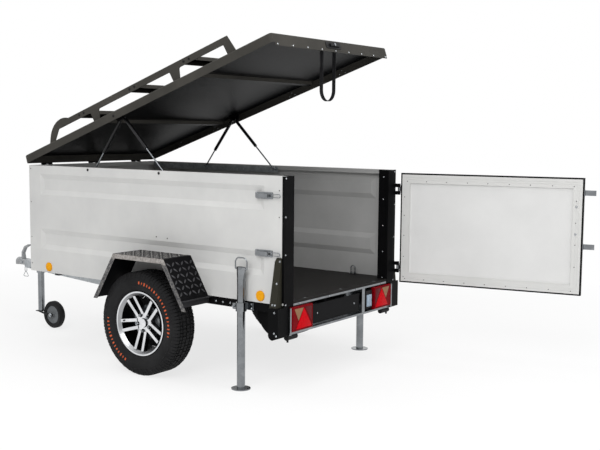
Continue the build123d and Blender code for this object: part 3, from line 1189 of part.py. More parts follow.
NODES = {
    "drawbar": drawbar(),
    "coupling_head": coupling_head(),
    "coupling_handle": coupling_handle(),
    "safety_chain": safety_chain(),
    "cross_members": group(*[cross_member(place) for place in MEMBER_PLACES]),
    "rear_rails": both_sides(rear_rail),
    "axle_beam": axle_beam(),
    "swing_arms": both_sides(swing_arm),
    "floor_panel": floor_panel(),
    "wall_left": side_wall(1),
    "wall_right": side_wall(-1),
    "wall_front": front_wall(),
    "lashing_rings": group(*[lashing_ring(place, side) for place in RING_PLACES for side in (1, -1)]),
    "rear_posts": both_sides(rear_post),
    "corner_covers": both_sides(corner_cover),
    "rear_beam": rear_beam(),
    "rear_buffers": both_sides(rear_buffer),
    "lamp_housings": both_sides(lamp_housing),
    "lamp_lenses": both_sides(lamp_lens),
    "number_plate": number_plate(),
    "side_reflectors": group(*[side_reflector(place, side) for place in REFLECTOR_PLACES for side in (1, -1)]),
    "fenders": both_sides(fender),
    "leg_clamps": both_sides(leg_clamp),
    "leg_left": prop_leg(1),
    "leg_right": prop_leg(-1),
    "jockey_clamp": jockey_clamp(),
    "jockey_tube": jockey_tube(),
    "jockey_fork": jockey_fork(),
    "jockey_wheel": jockey_wheel(),
    "toggle_latches": group(*[toggle_latch(height) for height in LATCHES]),
    "post_hinges": post_hinges(),
    "strut_rails": both_sides(strut_rail),
    "lid_hinge_leaves": lid_hinge_leaves(),
    "lid_shell": opened_lid(lid_shell()),
    "lid_ribs": opened_lid(group(*[lid_rib(place) for place in RIB_PLACES])),
    "lid_hinge_barrels": opened_lid(lid_hinge_barrels()),
    "lid_lock": opened_lid(lid_lock()),
    "pull_strap": pull_strap(),
    "strut_pivots": opened_lid(both_sides(strut_pivot)),
    "rack_rails": opened_lid(both_sides(rack_rail)),
    "rack_crossbars": opened_lid(group(*[crossbar(place) for place in CROSSBAR_PLACES])),
    "door_panel": opened_door(door_panel()),
    "door_frame": opened_door(door_ring(DOOR_INNER - DOOR_FRAME_DEPTH, DOOR_INNER, DOOR_EDGE, DOOR_FRAME_WIDTH)),
    "door_edge": opened_door(door_ring(DOOR_OUTER, DOOR_INNER, 0.0, DOOR_EDGE)),
    "door_fittings": opened_door(group(door_hinges(), *[door_keeper(height) for height in LATCHES])),
}
for side, hand in ((1, "left"), (-1, "right")):
    NODES["tyre_" + hand] = place_wheel(tyre_shape(), side)
    NODES["rim_" + hand] = place_wheel(rim_shape(), side)
    NODES["hub_" + hand] = place_wheel(hub_shape(), side)
    for end, place in ((0, "front"), (1, "rear")):
        NODES["strut_barrel_" + place + "_" + hand] = strut_barrel(end, side)
        NODES["strut_rod_" + place + "_" + hand] = strut_rod(end, side)

os.makedirs("parts", exist_ok=True)
for name, shape in NODES.items():
    export_step(shape, "parts/" + name + ".step")
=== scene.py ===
"""Looks for an enclosed box trailer: finishes for its solids, tyres, plate tread, fasteners and lamps."""

import json
from math import cos, pi, radians, sin

import bpy
from mathutils import Matrix, Vector


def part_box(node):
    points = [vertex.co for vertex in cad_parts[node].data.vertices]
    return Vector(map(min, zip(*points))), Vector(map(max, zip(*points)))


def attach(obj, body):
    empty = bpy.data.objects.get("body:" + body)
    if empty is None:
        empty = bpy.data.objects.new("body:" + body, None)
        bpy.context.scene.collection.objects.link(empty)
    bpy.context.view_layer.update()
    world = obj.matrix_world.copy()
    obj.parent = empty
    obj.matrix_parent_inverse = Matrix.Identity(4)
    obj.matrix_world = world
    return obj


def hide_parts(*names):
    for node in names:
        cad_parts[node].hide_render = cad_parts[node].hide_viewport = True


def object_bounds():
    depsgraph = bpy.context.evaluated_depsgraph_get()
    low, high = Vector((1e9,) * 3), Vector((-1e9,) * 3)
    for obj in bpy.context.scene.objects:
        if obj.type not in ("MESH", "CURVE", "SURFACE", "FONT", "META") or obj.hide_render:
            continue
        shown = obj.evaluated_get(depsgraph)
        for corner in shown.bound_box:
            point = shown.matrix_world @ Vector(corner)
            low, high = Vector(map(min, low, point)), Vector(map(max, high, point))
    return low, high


bl_info = {
    "name": "Enclosed Box Trailer Looks",
    "version": (1, 0, 0),
    "blender": (4, 5, 0),
    "location": "View3D > Sidebar > Trailer",
    "description": "Finishes and small fittings for an enclosed box trailer",
    "category": "Object",
}

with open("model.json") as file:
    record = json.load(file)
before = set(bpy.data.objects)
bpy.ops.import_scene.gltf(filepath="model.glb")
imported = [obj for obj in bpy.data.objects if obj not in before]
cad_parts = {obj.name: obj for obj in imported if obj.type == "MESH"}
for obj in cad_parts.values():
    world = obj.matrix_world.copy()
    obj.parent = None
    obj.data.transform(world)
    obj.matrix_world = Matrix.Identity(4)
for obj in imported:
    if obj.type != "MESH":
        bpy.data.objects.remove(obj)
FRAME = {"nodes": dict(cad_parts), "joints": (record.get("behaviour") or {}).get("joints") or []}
CAD_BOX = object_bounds()
NODES = FRAME["nodes"]
PIVOTS = {joint["name"]: Vector(joint["pos_m"]) for joint in FRAME["joints"] if "pos_m" in joint}
LID_HINGE, DOOR_HINGE = PIVOTS["lid_hinge"], PIVOTS["door_hinge"]
LID_TURN = Matrix.Rotation(radians(19), 3, "Y")
DOOR_TURN = Matrix.Rotation(radians(101), 3, "Z")
AHEAD, BACK = Vector((1, 0, 0)), Vector((-1, 0, 0))
LEFT, RIGHT, UP = Vector((0, 1, 0)), Vector((0, -1, 0)), Vector((0, 0, 1))
HANDS = (("left", 1), ("right", -1))
HEAD_TURN = 0.7
FINISHES = {}


# Selecting and shaping

def deselect():
    bpy.ops.object.select_all(action="DESELECT")


def alone(piece):
    """Select one piece and make it active."""
    deselect()
    piece.select_set(True)
    bpy.context.view_layer.objects.active = piece


def edit(piece):
    """Open a piece in edit mode with everything selected."""
    alone(piece)
    bpy.ops.object.mode_set(mode="EDIT")
    bpy.ops.mesh.select_mode(type="VERT")
    bpy.ops.mesh.select_all(action="SELECT")


def done():
    bpy.ops.object.mode_set(mode="OBJECT")


def edit_faces(piece, test):
    """Open a piece in edit mode with the faces selected that pass a test of centre and normal."""
    alone(piece)
    bpy.context.tool_settings.mesh_select_mode = (False, False, True)
    mesh = piece.data
    for part in (mesh.vertices, mesh.edges, mesh.polygons):
        part.foreach_set("select", [False] * len(part))
    for face in mesh.polygons:
        face.select = bool(test(face.center, face.normal))
    bpy.ops.object.mode_set(mode="EDIT")


def draw_out(run):
    bpy.ops.mesh.extrude_region_move(TRANSFORM_OT_translate={"value": Vector(run)})


def stepped(piece, out, *steps, reach=1.0):
    """Inset the faces that look one way and move them along it, with a slope or a wall at each step."""
    edit_faces(piece, lambda centre, normal: normal.dot(out) > 0.9 and centre.xy.length < reach)
    for form, thickness, rise in steps:
        bpy.ops.mesh.inset(thickness=thickness)
        if form == "wall":
            draw_out(out * rise)
        else:
            bpy.ops.transform.translate(value=out * rise)
    done()
    return piece


def started(name):
    """The primitive that was just added, with its name."""
    piece = bpy.context.object
    piece.name = name
    return piece


def start_box(name, size, place=(0, 0, 0)):
    """A cube drawn out to its size at its place."""
    deselect()
    bpy.ops.mesh.primitive_cube_add(size=1, location=place)
    piece = started(name)
    bpy.ops.object.mode_set(mode="EDIT")
    bpy.ops.transform.resize(value=size)
    done()
    return piece


def start_disc(name, radius, depth, sides=24):
    """A cylinder that stands on Z = 0."""
    deselect()
    bpy.ops.mesh.primitive_cylinder_add(vertices=sides, radius=radius, depth=depth,
                                        location=(0, 0, depth / 2))
    piece = started(name)
    bpy.ops.object.transform_apply(location=True, rotation=False, scale=False)
    return piece


def trace(name, points):
    """A chain of edges drawn by extruding one vertex from point to point."""
    points = [Vector(point) for point in points]
    deselect()
    bpy.ops.mesh.primitive_plane_add(size=1, location=(0, 0, 0))
    piece = started(name)
    edit(piece)
    bpy.ops.mesh.merge(type="CENTER")
    bpy.ops.transform.translate(value=points[0])
    for here, there in zip(points, points[1:]):
        draw_out(there - here)
    done()
    return piece


def cut_plate(name, points, run):
    """A flat outline filled and drawn out along a run."""
    piece = trace(name, points)
    edit(piece)
    bpy.ops.mesh.edge_face_add()
    draw_out(run)
    bpy.ops.mesh.select_all(action="SELECT")
    bpy.ops.mesh.normals_make_consistent(inside=False)
    done()
    return piece


def soften(piece, width, segments=2, angle=35):
    """Round the edges sharper than an angle."""
    alone(piece)
    bevel = piece.modifiers.new("edges", "BEVEL")
    bevel.width = width
    bevel.segments = segments
    bevel.limit_method = "ANGLE"
    bevel.angle_limit = radians(angle)
    bpy.ops.object.modifier_apply(modifier=bevel.name)
    return piece


def row(piece, count, step):
    """Repeat a piece in line."""
    alone(piece)
    array = piece.modifiers.new("row", "ARRAY")
    array.count = count
    array.use_relative_offset = False
    array.use_constant_offset = True
    array.constant_offset_displace = step
    bpy.ops.object.modifier_apply(modifier=array.name)


def apply_place():
    bpy.ops.object.transform_apply(location=True, rotation=True, scale=True)


def turned(piece, matrix):
    """Move a piece by a matrix and put the move into its mesh."""
    alone(piece)
    piece.matrix_world = matrix @ piece.matrix_world
    apply_place()
    return piece


def joined(name, pieces):
    """Join pieces into one."""
    alone(pieces[0])
    for piece in pieces:
        piece.select_set(True)
    if len(pieces) > 1:
        bpy.ops.object.join()
    return started(name)


def facing(place, direction, turn=0.0):
    """The matrix that stands a piece on a surface, its Z along the surface's outward direction."""
    stand = Vector(direction).to_track_quat("Z", "Y").to_matrix().to_4x4()
    return Matrix.Translation(place) @ stand @ Matrix.Rotation(turn, 4, "Z")


def copied(piece, name):
    """A copy of a piece with its own mesh."""
    copy = piece.copy()
    copy.data = piece.data.copy()
    copy.name = name
    bpy.context.collection.objects.link(copy)
    return copy


def settle(piece, body, finish, smooth=35):
    """Put a piece's place into its mesh, give it its finish and let it ride on a body."""
    alone(piece)
    apply_place()
    bpy.ops.object.shade_smooth_by_angle(angle=radians(smooth))
    if not piece.data.materials:
        piece.data.materials.append(FINISHES[finish])
    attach(piece, body)
    return piece


def spread(name, pattern, places):
    """Copies of one pattern at (place, direction) pairs, each turned a little further, as one piece."""
    copies = []
    for index, (place, direction) in enumerate(places):
        copy = copied(pattern, name)
        copy.matrix_world = facing(place, direction, HEAD_TURN * index)
        copies.append(copy)
    whole = joined(name, copies)
    bpy.data.objects.remove(pattern)
    return whole


def fasten(name, pattern, places, body="chassis", finish="bolt_zinc", smooth=35):
    """Fasteners spread over their places and settled."""
    return settle(spread(name, pattern, places), body, finish, smooth)


def middle_of(node):
    """The middle of a solid's box."""
    low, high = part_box(node)
    return (low + high) / 2


def on_lid(along, y, rise):
    """A place on the open lid: along it from the hinge, across it, and above its lower edge."""
    return LID_HINGE + LID_TURN @ Vector((-along, y - LID_HINGE.y, rise))


def on_door(x, y, z):
    """A place on the open door, given where it is with the door closed."""
    return DOOR_HINGE + DOOR_TURN @ (Vector((x, y, z)) - DOOR_HINGE)


def mirrored(places):
    """The same (place, direction) pairs on the left and on the right."""
    return [(Vector((x, y * side, z)), Vector((a, b * side, c)))
            for (x, y, z), (a, b, c) in places for side in (1, -1)]


# Fasteners, modelled once standing on Z = 0

def hex_bolt(across, height):
    """Hexagon head on a washer."""
    washer = soften(start_disc("washer", across * 0.78, height * 0.22, 20), height * 0.06, 1)
    head = start_disc("head", across / 2 / cos(pi / 6), height, 6)
    stepped(head, UP, ("slope", across * 0.07, height * 0.1))
    return joined("bolt", [washer, head])


def dome_rivet(radius, height):
    """Low dome from the upper half of a ball, with a rim that meets the sheet."""
    deselect()
    bpy.ops.mesh.primitive_uv_sphere_add(segments=14, ring_count=8, radius=radius, location=(0, 0, 0))
    rivet = started("rivet")
    edit(rivet)
    bpy.ops.mesh.bisect(plane_co=(0, 0, 0), plane_no=UP, use_fill=True, clear_inner=True)
    bpy.ops.mesh.select_all(action="SELECT")
    bpy.ops.transform.resize(value=(1, 1, height / radius))
    done()
    return rivet


def socket_screw(radius, height):
    """Button head with a sunk socket."""
    head = soften(start_disc("screw", radius, height, 20), height * 0.45, 3, 60)
    return stepped(head, UP, ("wall", radius * 0.3, -height * 0.5), reach=0.001)


# Shader nodes

def linear(code):
    """A written sRGB colour as the linear values that shaders take."""
    values = [int(code[i:i + 2], 16) / 255 for i in (1, 3, 5)]
    return tuple(v / 12.92 if v <= 0.04045 else ((v + 0.055) / 1.055) ** 2.4 for v in values) + (1.0,)


def fill(tree, socket, value):
    """Give a socket a link, a written colour or a plain value."""
    if isinstance(value, bpy.types.NodeSocket):
        tree.links.new(value, socket)
    else:
        socket.default_value = linear(value) if isinstance(value, str) else value


def add(tree, kind, settings=None, **sockets):
    """A shader node with its settings, and inputs by name that take a value or a link."""
    made = tree.nodes.new(kind)
    for key, value in (settings or {}).items():
        setattr(made, key, value)
    for key, value in sockets.items():
        fill(tree, made.inputs[key.replace("_", " ")], value)
    return made


def mix(tree, factor, a, b):
    """One colour fading into another."""
    made = add(tree, "ShaderNodeMix", {"data_type": "RGBA"})
    for index, value in ((0, factor), (6, a), (7, b)):
        fill(tree, made.inputs[index], value)
    return made.outputs[2]


def fade(tree, value, low, high, to_low=0.0, to_high=1.0):
    """A value spread from one range to another, clamped."""
    return add(tree, "ShaderNodeMapRange", None, Value=value, From_Min=low, From_Max=high,
               To_Min=to_low, To_Max=to_high).outputs["Result"]


def sums(tree, operation, *values):
    """One step of arithmetic."""
    made = add(tree, "ShaderNodeMath", {"operation": operation})
    for socket, value in zip(made.inputs, values):
        fill(tree, socket, value)
    return made.outputs[0]


def vectors(tree, operation, *values):
    """One step of arithmetic with vectors."""
    made = add(tree, "ShaderNodeVectorMath", {"operation": operation})
    for socket, value in zip(made.inputs, values):
        fill(tree, socket, value)
    return made.outputs["Value" if operation in ("LENGTH", "DOT_PRODUCT") else "Vector"]


def object_place(tree):
    return add(tree, "ShaderNodeTexCoord").outputs["Object"]


def surface_normal(tree):
    return add(tree, "ShaderNodeNewGeometry").outputs["Normal"]


def axes_of(tree, vector):
    """The X, Y and Z of a vector."""
    return add(tree, "ShaderNodeSeparateXYZ", None, Vector=vector).outputs


def noise(tree, scale, detail, roughness=0.5):
    """The value and the colour of a noise over the object."""
    return add(tree, "ShaderNodeTexNoise", None, Vector=object_place(tree), Scale=scale, Detail=detail,
               Roughness=roughness).outputs


def cell_tones(tree, place, scale):
    """Random tones of small cells."""
    cells = add(tree, "ShaderNodeTexVoronoi", None, Vector=place, Scale=scale)
    return add(tree, "ShaderNodeSeparateColor", None, Color=cells.outputs["Color"]).outputs


def new_group(name, **inputs):
    """An empty shader group with named number inputs."""
    group = bpy.data.node_groups.new(name, "ShaderNodeTree")
    for key, value in inputs.items():
        label = key.replace("_", " ")
        socket = group.interface.new_socket(label, in_out="INPUT", socket_type="NodeSocketFloat")
        socket.default_value = value
    return group, group.nodes.new("NodeGroupInput").outputs


def give(group, **outputs):
    """Put values out of a group by name."""
    for label in outputs:
        group.interface.new_socket(label, in_out="OUTPUT", socket_type="NodeSocketFloat")
    out = group.nodes.new("NodeGroupOutput")
    for label, value in outputs.items():
        group.links.new(value, out.inputs[label])


def coat_grain_group():
    """Slow mottling and fine grain of a coat of paint, plastic or rubber."""
    group, given = new_group("Coat Grain", Mottle_Scale=3.0, Grain_Scale=900.0)
    slow = noise(group, given[0], 4.0, 0.6)[0]
    fine = noise(group, given[1], 2.0, 0.7)[0]
    give(group, Mottle=fade(group, slow, 0.3, 0.7), Grain=fade(group, fine, 0.25, 0.75))


def zinc_group():
    """Crystals of hot-dip zinc and the streaks where it ran."""
    group, given = new_group("Zinc Spangle", Cell_Scale=70.0)
    warp = noise(group, 35.0, 3.0)[1]
    bent = vectors(group, "MULTIPLY_ADD", warp, (0.02, 0.02, 0.02), object_place(group))
    streak = noise(group, 14.0, 6.0, 0.65)[0]
    give(group, Spangle=cell_tones(group, bent, given[0])[0], Streak=fade(group, streak, 0.3, 0.7))


def prism_group():
    """Rows of small moulded pyramids, as behind a lamp lens or in a reflector."""
    group, given = new_group("Prism Facets", Per_Metre=180.0)
    place = object_place(group)
    x, y, z = axes_of(group, place)
    across = sums(group, "MULTIPLY", sums(group, "ADD", x, y), given[0])
    up = sums(group, "MULTIPLY", z, given[0])
    height = sums(group, "ADD", sums(group, "PINGPONG", across, 0.5), sums(group, "PINGPONG", up, 0.5))
    give(group, Height=height, Cell=cell_tones(group, place, given[0])[1])


def weave_group():
    """Crossing threads of webbing."""
    group, given = new_group("Webbing Weave", Threads_Per_Metre=900.0)
    x, y, z = axes_of(group, object_place(group))
    warp, weft = (sums(group, "SINE", sums(group, "MULTIPLY", along, given[0])) for along in (x, z))
    give(group, Thread=sums(group, "MULTIPLY", warp, weft))


def placed_group(tree, name, **values):
    """The outputs of one of the shared groups, with its own values."""
    return add(tree, "ShaderNodeGroup", {"node_tree": bpy.data.node_groups[name]}, **values).outputs


def blended(tree, a, share, b):
    """Two masks added up, the first by its share and the second by the rest."""
    return sums(tree, "ADD", sums(tree, "MULTIPLY", a, share), sums(tree, "MULTIPLY", b, 1 - share))


# Kinds of finish

def new_finish(name, **constants):
    """A material with an empty tree but for its shader, whose constant sockets are set here."""
    material = bpy.data.materials.new(name)
    material.use_nodes = True
    tree = material.node_tree
    shader = tree.nodes["Principled BSDF"]
    for key, value in constants.items():
        shader.inputs[key.replace("_", " ")].default_value = value
    FINISHES[name] = material
    return tree, shader


def tint(tree, shader, factor, dark, light):
    """Two tones of the base colour."""
    tree.links.new(mix(tree, factor, dark, light), shader.inputs["Base Color"])


def overlay(tree, shader, mask, colour):
    """Another colour over the base colour where a mask is high."""
    tint(tree, shader, mask, shader.inputs["Base Color"].links[0].from_socket, colour)


def roughen(tree, shader, value, low, high):
    tree.links.new(fade(tree, value, 0, 1, low, high), shader.inputs["Roughness"])


def bump(tree, shader, height, strength, distance):
    made = add(tree, "ShaderNodeBump", None, Height=height, Strength=strength, Distance=distance)
    tree.links.new(made.outputs[0], shader.inputs["Normal"])


def coat_finish(name, dark, light, rough, grain, relief, mottle=3.0, specular=0.5):
    """Paint, plastic or rubber: two near tones, a grain in gloss and relief."""
    tree, shader = new_finish(name, Specular_IOR_Level=specular)
    grains = placed_group(tree, "Coat Grain", Mottle_Scale=mottle, Grain_Scale=grain)
    tint(tree, shader, grains["Mottle"], dark, light)
    roughen(tree, shader, grains["Grain"], *rough)
    bump(tree, shader, grains["Grain"], relief, 0.0006)
    return tree, shader, grains


def metal_finish(name, dark, light, rough, cells):
    """Zinc-coated steel or bright metal."""
    tree, shader = new_finish(name, Metallic=1.0)
    zinc = placed_group(tree, "Zinc Spangle", Cell_Scale=cells)
    tone = blended(tree, zinc["Spangle"], 0.5, zinc["Streak"])
    tint(tree, shader, tone, dark, light)
    roughen(tree, shader, tone, *rough)
    bump(tree, shader, zinc["Streak"], 0.08, 0.0006)


def lens_finish(name, dark, light, per_metre):
    """Moulded lamp lens with prisms behind a clear face."""
    tree, shader = new_finish(name, Roughness=0.24, Specular_IOR_Level=0.03)
    prism = placed_group(tree, "Prism Facets", Per_Metre=per_metre)
    tint(tree, shader, blended(tree, prism["Height"], 0.6, prism["Cell"]), dark, light)
    bump(tree, shader, prism["Height"], 0.3, 0.0015)


# Settings

class TrailerColours(bpy.types.PropertyGroup):
    """Main colours, as sRGB codes."""
    wall: bpy.props.StringProperty(name="Walls", description="Pressed wall sheet", default="#CFCFCD")
    lid: bpy.props.StringProperty(name="Lid", description="Textured coat of lid and rack", default="#474541")
    plate: bpy.props.StringProperty(name="Black plate", description="Posts, covers and hinges",
                                    default="#0D0D0E")
    zinc: bpy.props.StringProperty(name="Zinc", description="Hot-dip zinc on the chassis", default="#B9BDC0")
    deck: bpy.props.StringProperty(name="Deck", description="Film-faced board", default="#1B1918")
    door: bpy.props.StringProperty(name="Door", description="Faced sheet inside the door", default="#DADAD9")
    red: bpy.props.StringProperty(name="Lamp red", description="Tail lamp lens", default="#840811")
    amber: bpy.props.StringProperty(name="Amber", description="Side reflectors", default="#F5B028")


class TrailerSizes(bpy.types.PropertyGroup):
    """Sizes of the pieces that are added to the solids."""
    tread_depth: bpy.props.FloatProperty(name="Tread depth", description="Height of the tread blocks",
                                         default=0.009, unit="LENGTH")
    tread_pitches: bpy.props.IntProperty(name="Tread pitches", description="Blocks round one tyre",
                                         default=46)
    lozenge_pitch: bpy.props.FloatProperty(name="Plate pitch",
                                           description="Spacing of the raised plate pattern",
                                           default=0.038, unit="LENGTH")
    bolt_across: bpy.props.FloatProperty(name="Bolt size",
                                         description="Width across the flats of the frame bolts",
                                         default=0.008, unit="LENGTH")
    rivet_radius: bpy.props.FloatProperty(name="Rivet radius", description="Heads of the sheet rivets",
                                          default=0.0045, unit="LENGTH")


# Finishes

WORN = {
    "zinc": "drawbar cross_members axle_beam swing_arms strut_rails hub_left hub_right",
    "cast_grey": "coupling_head coupling_handle",
    "bright_zinc": "safety_chain",
    "rail_coat": "rear_rails",
    "deck_board": "floor_panel",
    "wall_sheet": "wall_left wall_right wall_front",
    "polished": "lashing_rings rear_beam leg_clamps jockey_clamp toggle_latches door_fittings leg_left "
                "leg_right jockey_tube",
    "black_plate": "rear_posts post_hinges lid_hinge_leaves lid_hinge_barrels strut_pivots door_edge",
    "corner_plate": "corner_covers",
    "rubber": "rear_buffers",
    "lamp_moulding": "lamp_housings",
    "lens_red": "lamp_lenses",
    "plate_blank": "number_plate",
    "lens_amber": "side_reflectors",
    "fender_plate": "fenders",
    "lid_coat": "lid_shell lid_ribs rack_rails rack_crossbars",
    "black_fitting": "lid_lock jockey_fork",
    "webbing": "pull_strap",
    "door_face": "door_panel",
    "door_rim": "door_frame",
    "jockey_tyre": "jockey_wheel",
    "tyre_rubber": "tyre_left tyre_right",
    "alloy": "rim_left rim_right",
    "strut_tube": "strut_barrel_front_left strut_barrel_front_right strut_barrel_rear_left "
                  "strut_barrel_rear_right",
    "rod_steel": "strut_rod_front_left strut_rod_front_right strut_rod_rear_left strut_rod_rear_right",
}


class TRAILER_OT_finishes(bpy.types.Operator):
    """Build the finishes and give one to every solid"""
    bl_idname = "trailer.finishes"
    bl_label = "Finishes"

    def execute(self, context):
        colours = context.scene.trailer_colours
        for make in (coat_grain_group, zinc_group, prism_group, weave_group):
            make()
        self.coats(colours)
        self.metals(colours)
        self.lenses(colours)
        self.wall_with_painted_inner_shade(colours.wall)
        self.shaded_lid(colours.lid)
        self.two_tone("corner_plate", colours.plate, "#26251F", "#34332B", self.height, 0.0665, 0.0675)
        self.two_tone("rail_coat", "#0D0D0E", "#2A2A2C", "#3A3A3C", self.distance_out, 0.5975, 0.5985)
        self.machined_rim()
        self.hubbed_wheel()
        self.edged_plate()
        self.webbing()
        self.dress()
        return {"FINISHED"}

    def coats(self, colours):
        """Plain coats: tones, roughness, scale and relief of the grain, scale of the mottling, gloss."""
        for values in (
                ("black_plate", "#070708", colours.plate, (0.42, 0.52), 800.0, 0.1, 3.0, 0.04),
                ("black_fitting", "#0A0A0B", "#141416", (0.3, 0.45), 1500.0, 0.1, 3.0, 0.2),
                ("tyre_rubber", "#151516", "#222223", (0.72, 0.88), 700.0, 0.25, 8.0, 0.18),
                ("rubber", "#101011", "#1B1B1C", (0.6, 0.75), 900.0, 0.2, 8.0, 0.2),
                ("deck_board", "#121110", colours.deck, (0.42, 0.56), 260.0, 0.2, 5.0, 0.1),
                ("door_face", "#D2D2D1", colours.door, (0.4, 0.5), 500.0, 0.04),
                ("door_rim", "#CBCBC9", "#D2D2D0", (0.4, 0.5), 500.0, 0.05),
                ("lamp_moulding", "#0B0B0C", "#151517", (0.4, 0.55), 1200.0, 0.1, 3.0, 0.2),
                ("plate_blank", "#08080A", "#0E0E10", (0.34, 0.44), 900.0, 0.05, 3.0, 0.05),
                ("bare_gusset", "#26251F", "#34332B", (0.45, 0.6), 500.0, 0.1, 3.0, 0.1),
                ("orange_mark", "#B9481B", "#CF5A28", (0.55, 0.7), 900.0, 0.15),
                ("strut_tube", "#0B0B0C", "#151517", (0.18, 0.26), 1500.0, 0.03, 3.0, 0.3),
                ("pocket_black", "#0A0A0B", "#151516", (0.4, 0.55), 900.0, 0.05, 3.0, 0.2),
                ("cast_grey", "#8F9193", "#A6A8AA", (0.4, 0.55), 600.0, 0.2),
                ("thread", "#6E6E70", "#8A8A8C", (0.7, 0.85), 1500.0, 0.2),
                ("dark_rivet", "#2A2A2B", "#3A3A3C", (0.3, 0.4), 900.0, 0.05)):
            coat_finish(*values)

    def metals(self, colours):
        """Metals: tones, roughness and cells of the zinc per metre."""
        for values in (
                ("zinc", "#868B8E", colours.zinc, (0.3, 0.46), 70.0),
                ("bright_zinc", "#7F8386", "#A8ACAE", (0.18, 0.3), 160.0),
                ("bolt_zinc", "#8E9194", "#B8BBBE", (0.2, 0.3), 400.0),
                ("rod_steel", "#6C7074", "#A5A9AD", (0.14, 0.22), 300.0),
                # Lozenges: worn tops, made lighter than the plate as a painted highlight.
                ("lozenge_wear_and_painted_highlight", "#444447", "#636366", (0.25, 0.36), 300.0),
                # Top lozenges: lighter still, a painted highlight where the top faces up, on worn metal.
                ("top_lozenge_wear_and_painted_highlight", "#A6A4A2", "#C8C6C4", (0.22, 0.32), 300.0),
                ("polished", "#74777A", "#94979A", (0.16, 0.24), 24.0)):
            metal_finish(*values)

    def lenses(self, colours):
        """Lenses: tones and prisms per metre."""
        for values in (
                ("lens_red", "#5A0007", colours.red, 180.0),
                ("lens_triangle", "#A8000C", "#D00A18", 150.0),
                ("lens_tan", "#7A5C46", "#9A785A", 220.0),
                ("lens_pale", "#4A181C", "#642C2E", 220.0),
                ("lens_amber", "#D08808", colours.amber, 140.0),
                ("lens_clear", "#7C8C9C", "#A9B8C6", 160.0)):
            lens_finish(*values)

    def wall_with_painted_inner_shade(self, light):
        """Wall sheet, pale outside, with painted shade: a darker grey on the sides that face the load."""
        tree, shader, grains = coat_finish("wall_sheet", "#C4C4C3", light, (0.4, 0.5), 420.0, 0.06,
                                           specular=0.3)
        outward = vectors(tree, "SUBTRACT", object_place(tree), middle_of("floor_panel"))
        level = vectors(tree, "MULTIPLY", outward, (1, 1, 0))
        side = vectors(tree, "DOT_PRODUCT", level, surface_normal(tree))
        inner_painted_shade = mix(tree, grains["Mottle"], "#A0A09F", "#ADADAC")
        # Painted shade: the faces that look in towards the load get a darker grey.
        overlay(tree, shader, fade(tree, side, -0.04, -0.08), inner_painted_shade)

    def shaded_lid(self, light):
        """Textured coat of the lid, with painted shade: darker on the sides that face down."""
        tree, shader, grains = coat_finish("lid_coat", "#3A3936", light, (0.34, 0.44), 1300.0, 0.2,
                                           specular=0.035)
        rise = axes_of(tree, surface_normal(tree))[2]
        underside_painted_shade = mix(tree, grains["Mottle"], "#090A0B", "#101113")
        # Painted shade: faces that look down get a near-black tone.
        overlay(tree, shader, fade(tree, rise, -0.3, -0.6), underside_painted_shade)

    def height(self, tree):
        return axes_of(tree, object_place(tree))[2]

    def distance_out(self, tree):
        """How far a place is from the trailer's middle plane."""
        return sums(tree, "ABSOLUTE", axes_of(tree, object_place(tree))[1])

    def two_tone(self, name, light, far_dark, far_light, measure, low, high):
        """A black coat that changes tone along one measure, as where a gusset or a rail is left bare."""
        tree, shader, grains = coat_finish(name, "#070708", light, (0.42, 0.52), 420.0, 0.06, specular=0.05)
        far = mix(tree, grains["Mottle"], far_dark, far_light)
        overlay(tree, shader, fade(tree, measure(tree), low, high), far)

    def hubbed_wheel(self):
        """Black solid tyre on a bright dished hub."""
        tree, shader, grains = coat_finish("jockey_tyre", "#0E0E0F", "#181819", (0.55, 0.7), 700.0, 0.15,
                                           specular=0.2)
        outward = vectors(tree, "SUBTRACT", object_place(tree), middle_of("jockey_wheel"))
        reach = vectors(tree, "LENGTH", vectors(tree, "MULTIPLY", outward, (1, 0, 1)))
        bright = mix(tree, grains["Mottle"], "#626567", "#828588")
        overlay(tree, shader, fade(tree, reach, 0.0655, 0.0645), bright)

    def machined_rim(self):
        """Turned bright faces that look to the side; all other faces, as in the pockets between the spokes,
        dark grey as painted shade.
        """
        tree, shader = new_finish("alloy", Metallic=1.0)
        grains = placed_group(tree, "Coat Grain", Mottle_Scale=9.0, Grain_Scale=700.0)
        outward = sums(tree, "ABSOLUTE", axes_of(tree, surface_normal(tree))[1])
        face = fade(tree, outward, 0.55, 0.85)
        # Painted shade: faces that don't look to the side get dark grey.
        tint(tree, shader, face, "#2E2F31", mix(tree, grains["Mottle"], "#C9CBCE", "#EDEEF0"))
        roughen(tree, shader, face, 0.42, 0.2)
        bump(tree, shader, grains["Grain"], 0.05, 0.0005)

    def edged_plate(self):
        """Black fender plate whose outer edge is worn to bare grey metal; along its crest it is lighter
        still, a painted highlight on the worn metal.
        """
        tree, shader, grains = coat_finish("fender_plate", "#08080A", "#0E0E10", (0.4, 0.52), 600.0, 0.12,
                                           specular=0.05)
        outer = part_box("fenders")[1].y
        edge = fade(tree, self.distance_out(tree), outer - 0.0012, outer - 0.0004)
        worn = fade(tree, noise(tree, 90.0, 2.0)[0], 0.4, 0.66)
        slope = mix(tree, worn, "#48484A", "#7A7876")
        # Painted highlight: the crest, which faces up, gets lighter tones than the slopes.
        crest = mix(tree, worn, "#84807D", "#A8A4A0")
        overlay(tree, shader, edge, mix(tree, fade(tree, self.height(tree), 0.268, 0.276), slope, crest))

    def webbing(self):
        tree, shader = new_finish("webbing", Roughness=0.85)
        thread = placed_group(tree, "Webbing Weave")["Thread"]
        tint(tree, shader, fade(tree, thread, -1, 1), "#0E0E0F", "#26262A")
        bump(tree, shader, thread, 0.5, 0.0006)

    def dress(self):
        """One finish for each solid."""
        worn = {node: finish for finish, nodes in WORN.items() for node in nodes.split()}
        for name, solid in NODES.items():
            solid.data.materials.clear()
            solid.data.materials.append(FINISHES[worn[name]])


# Tyres and wheels, modelled round the Y axis with the outer side towards +Y

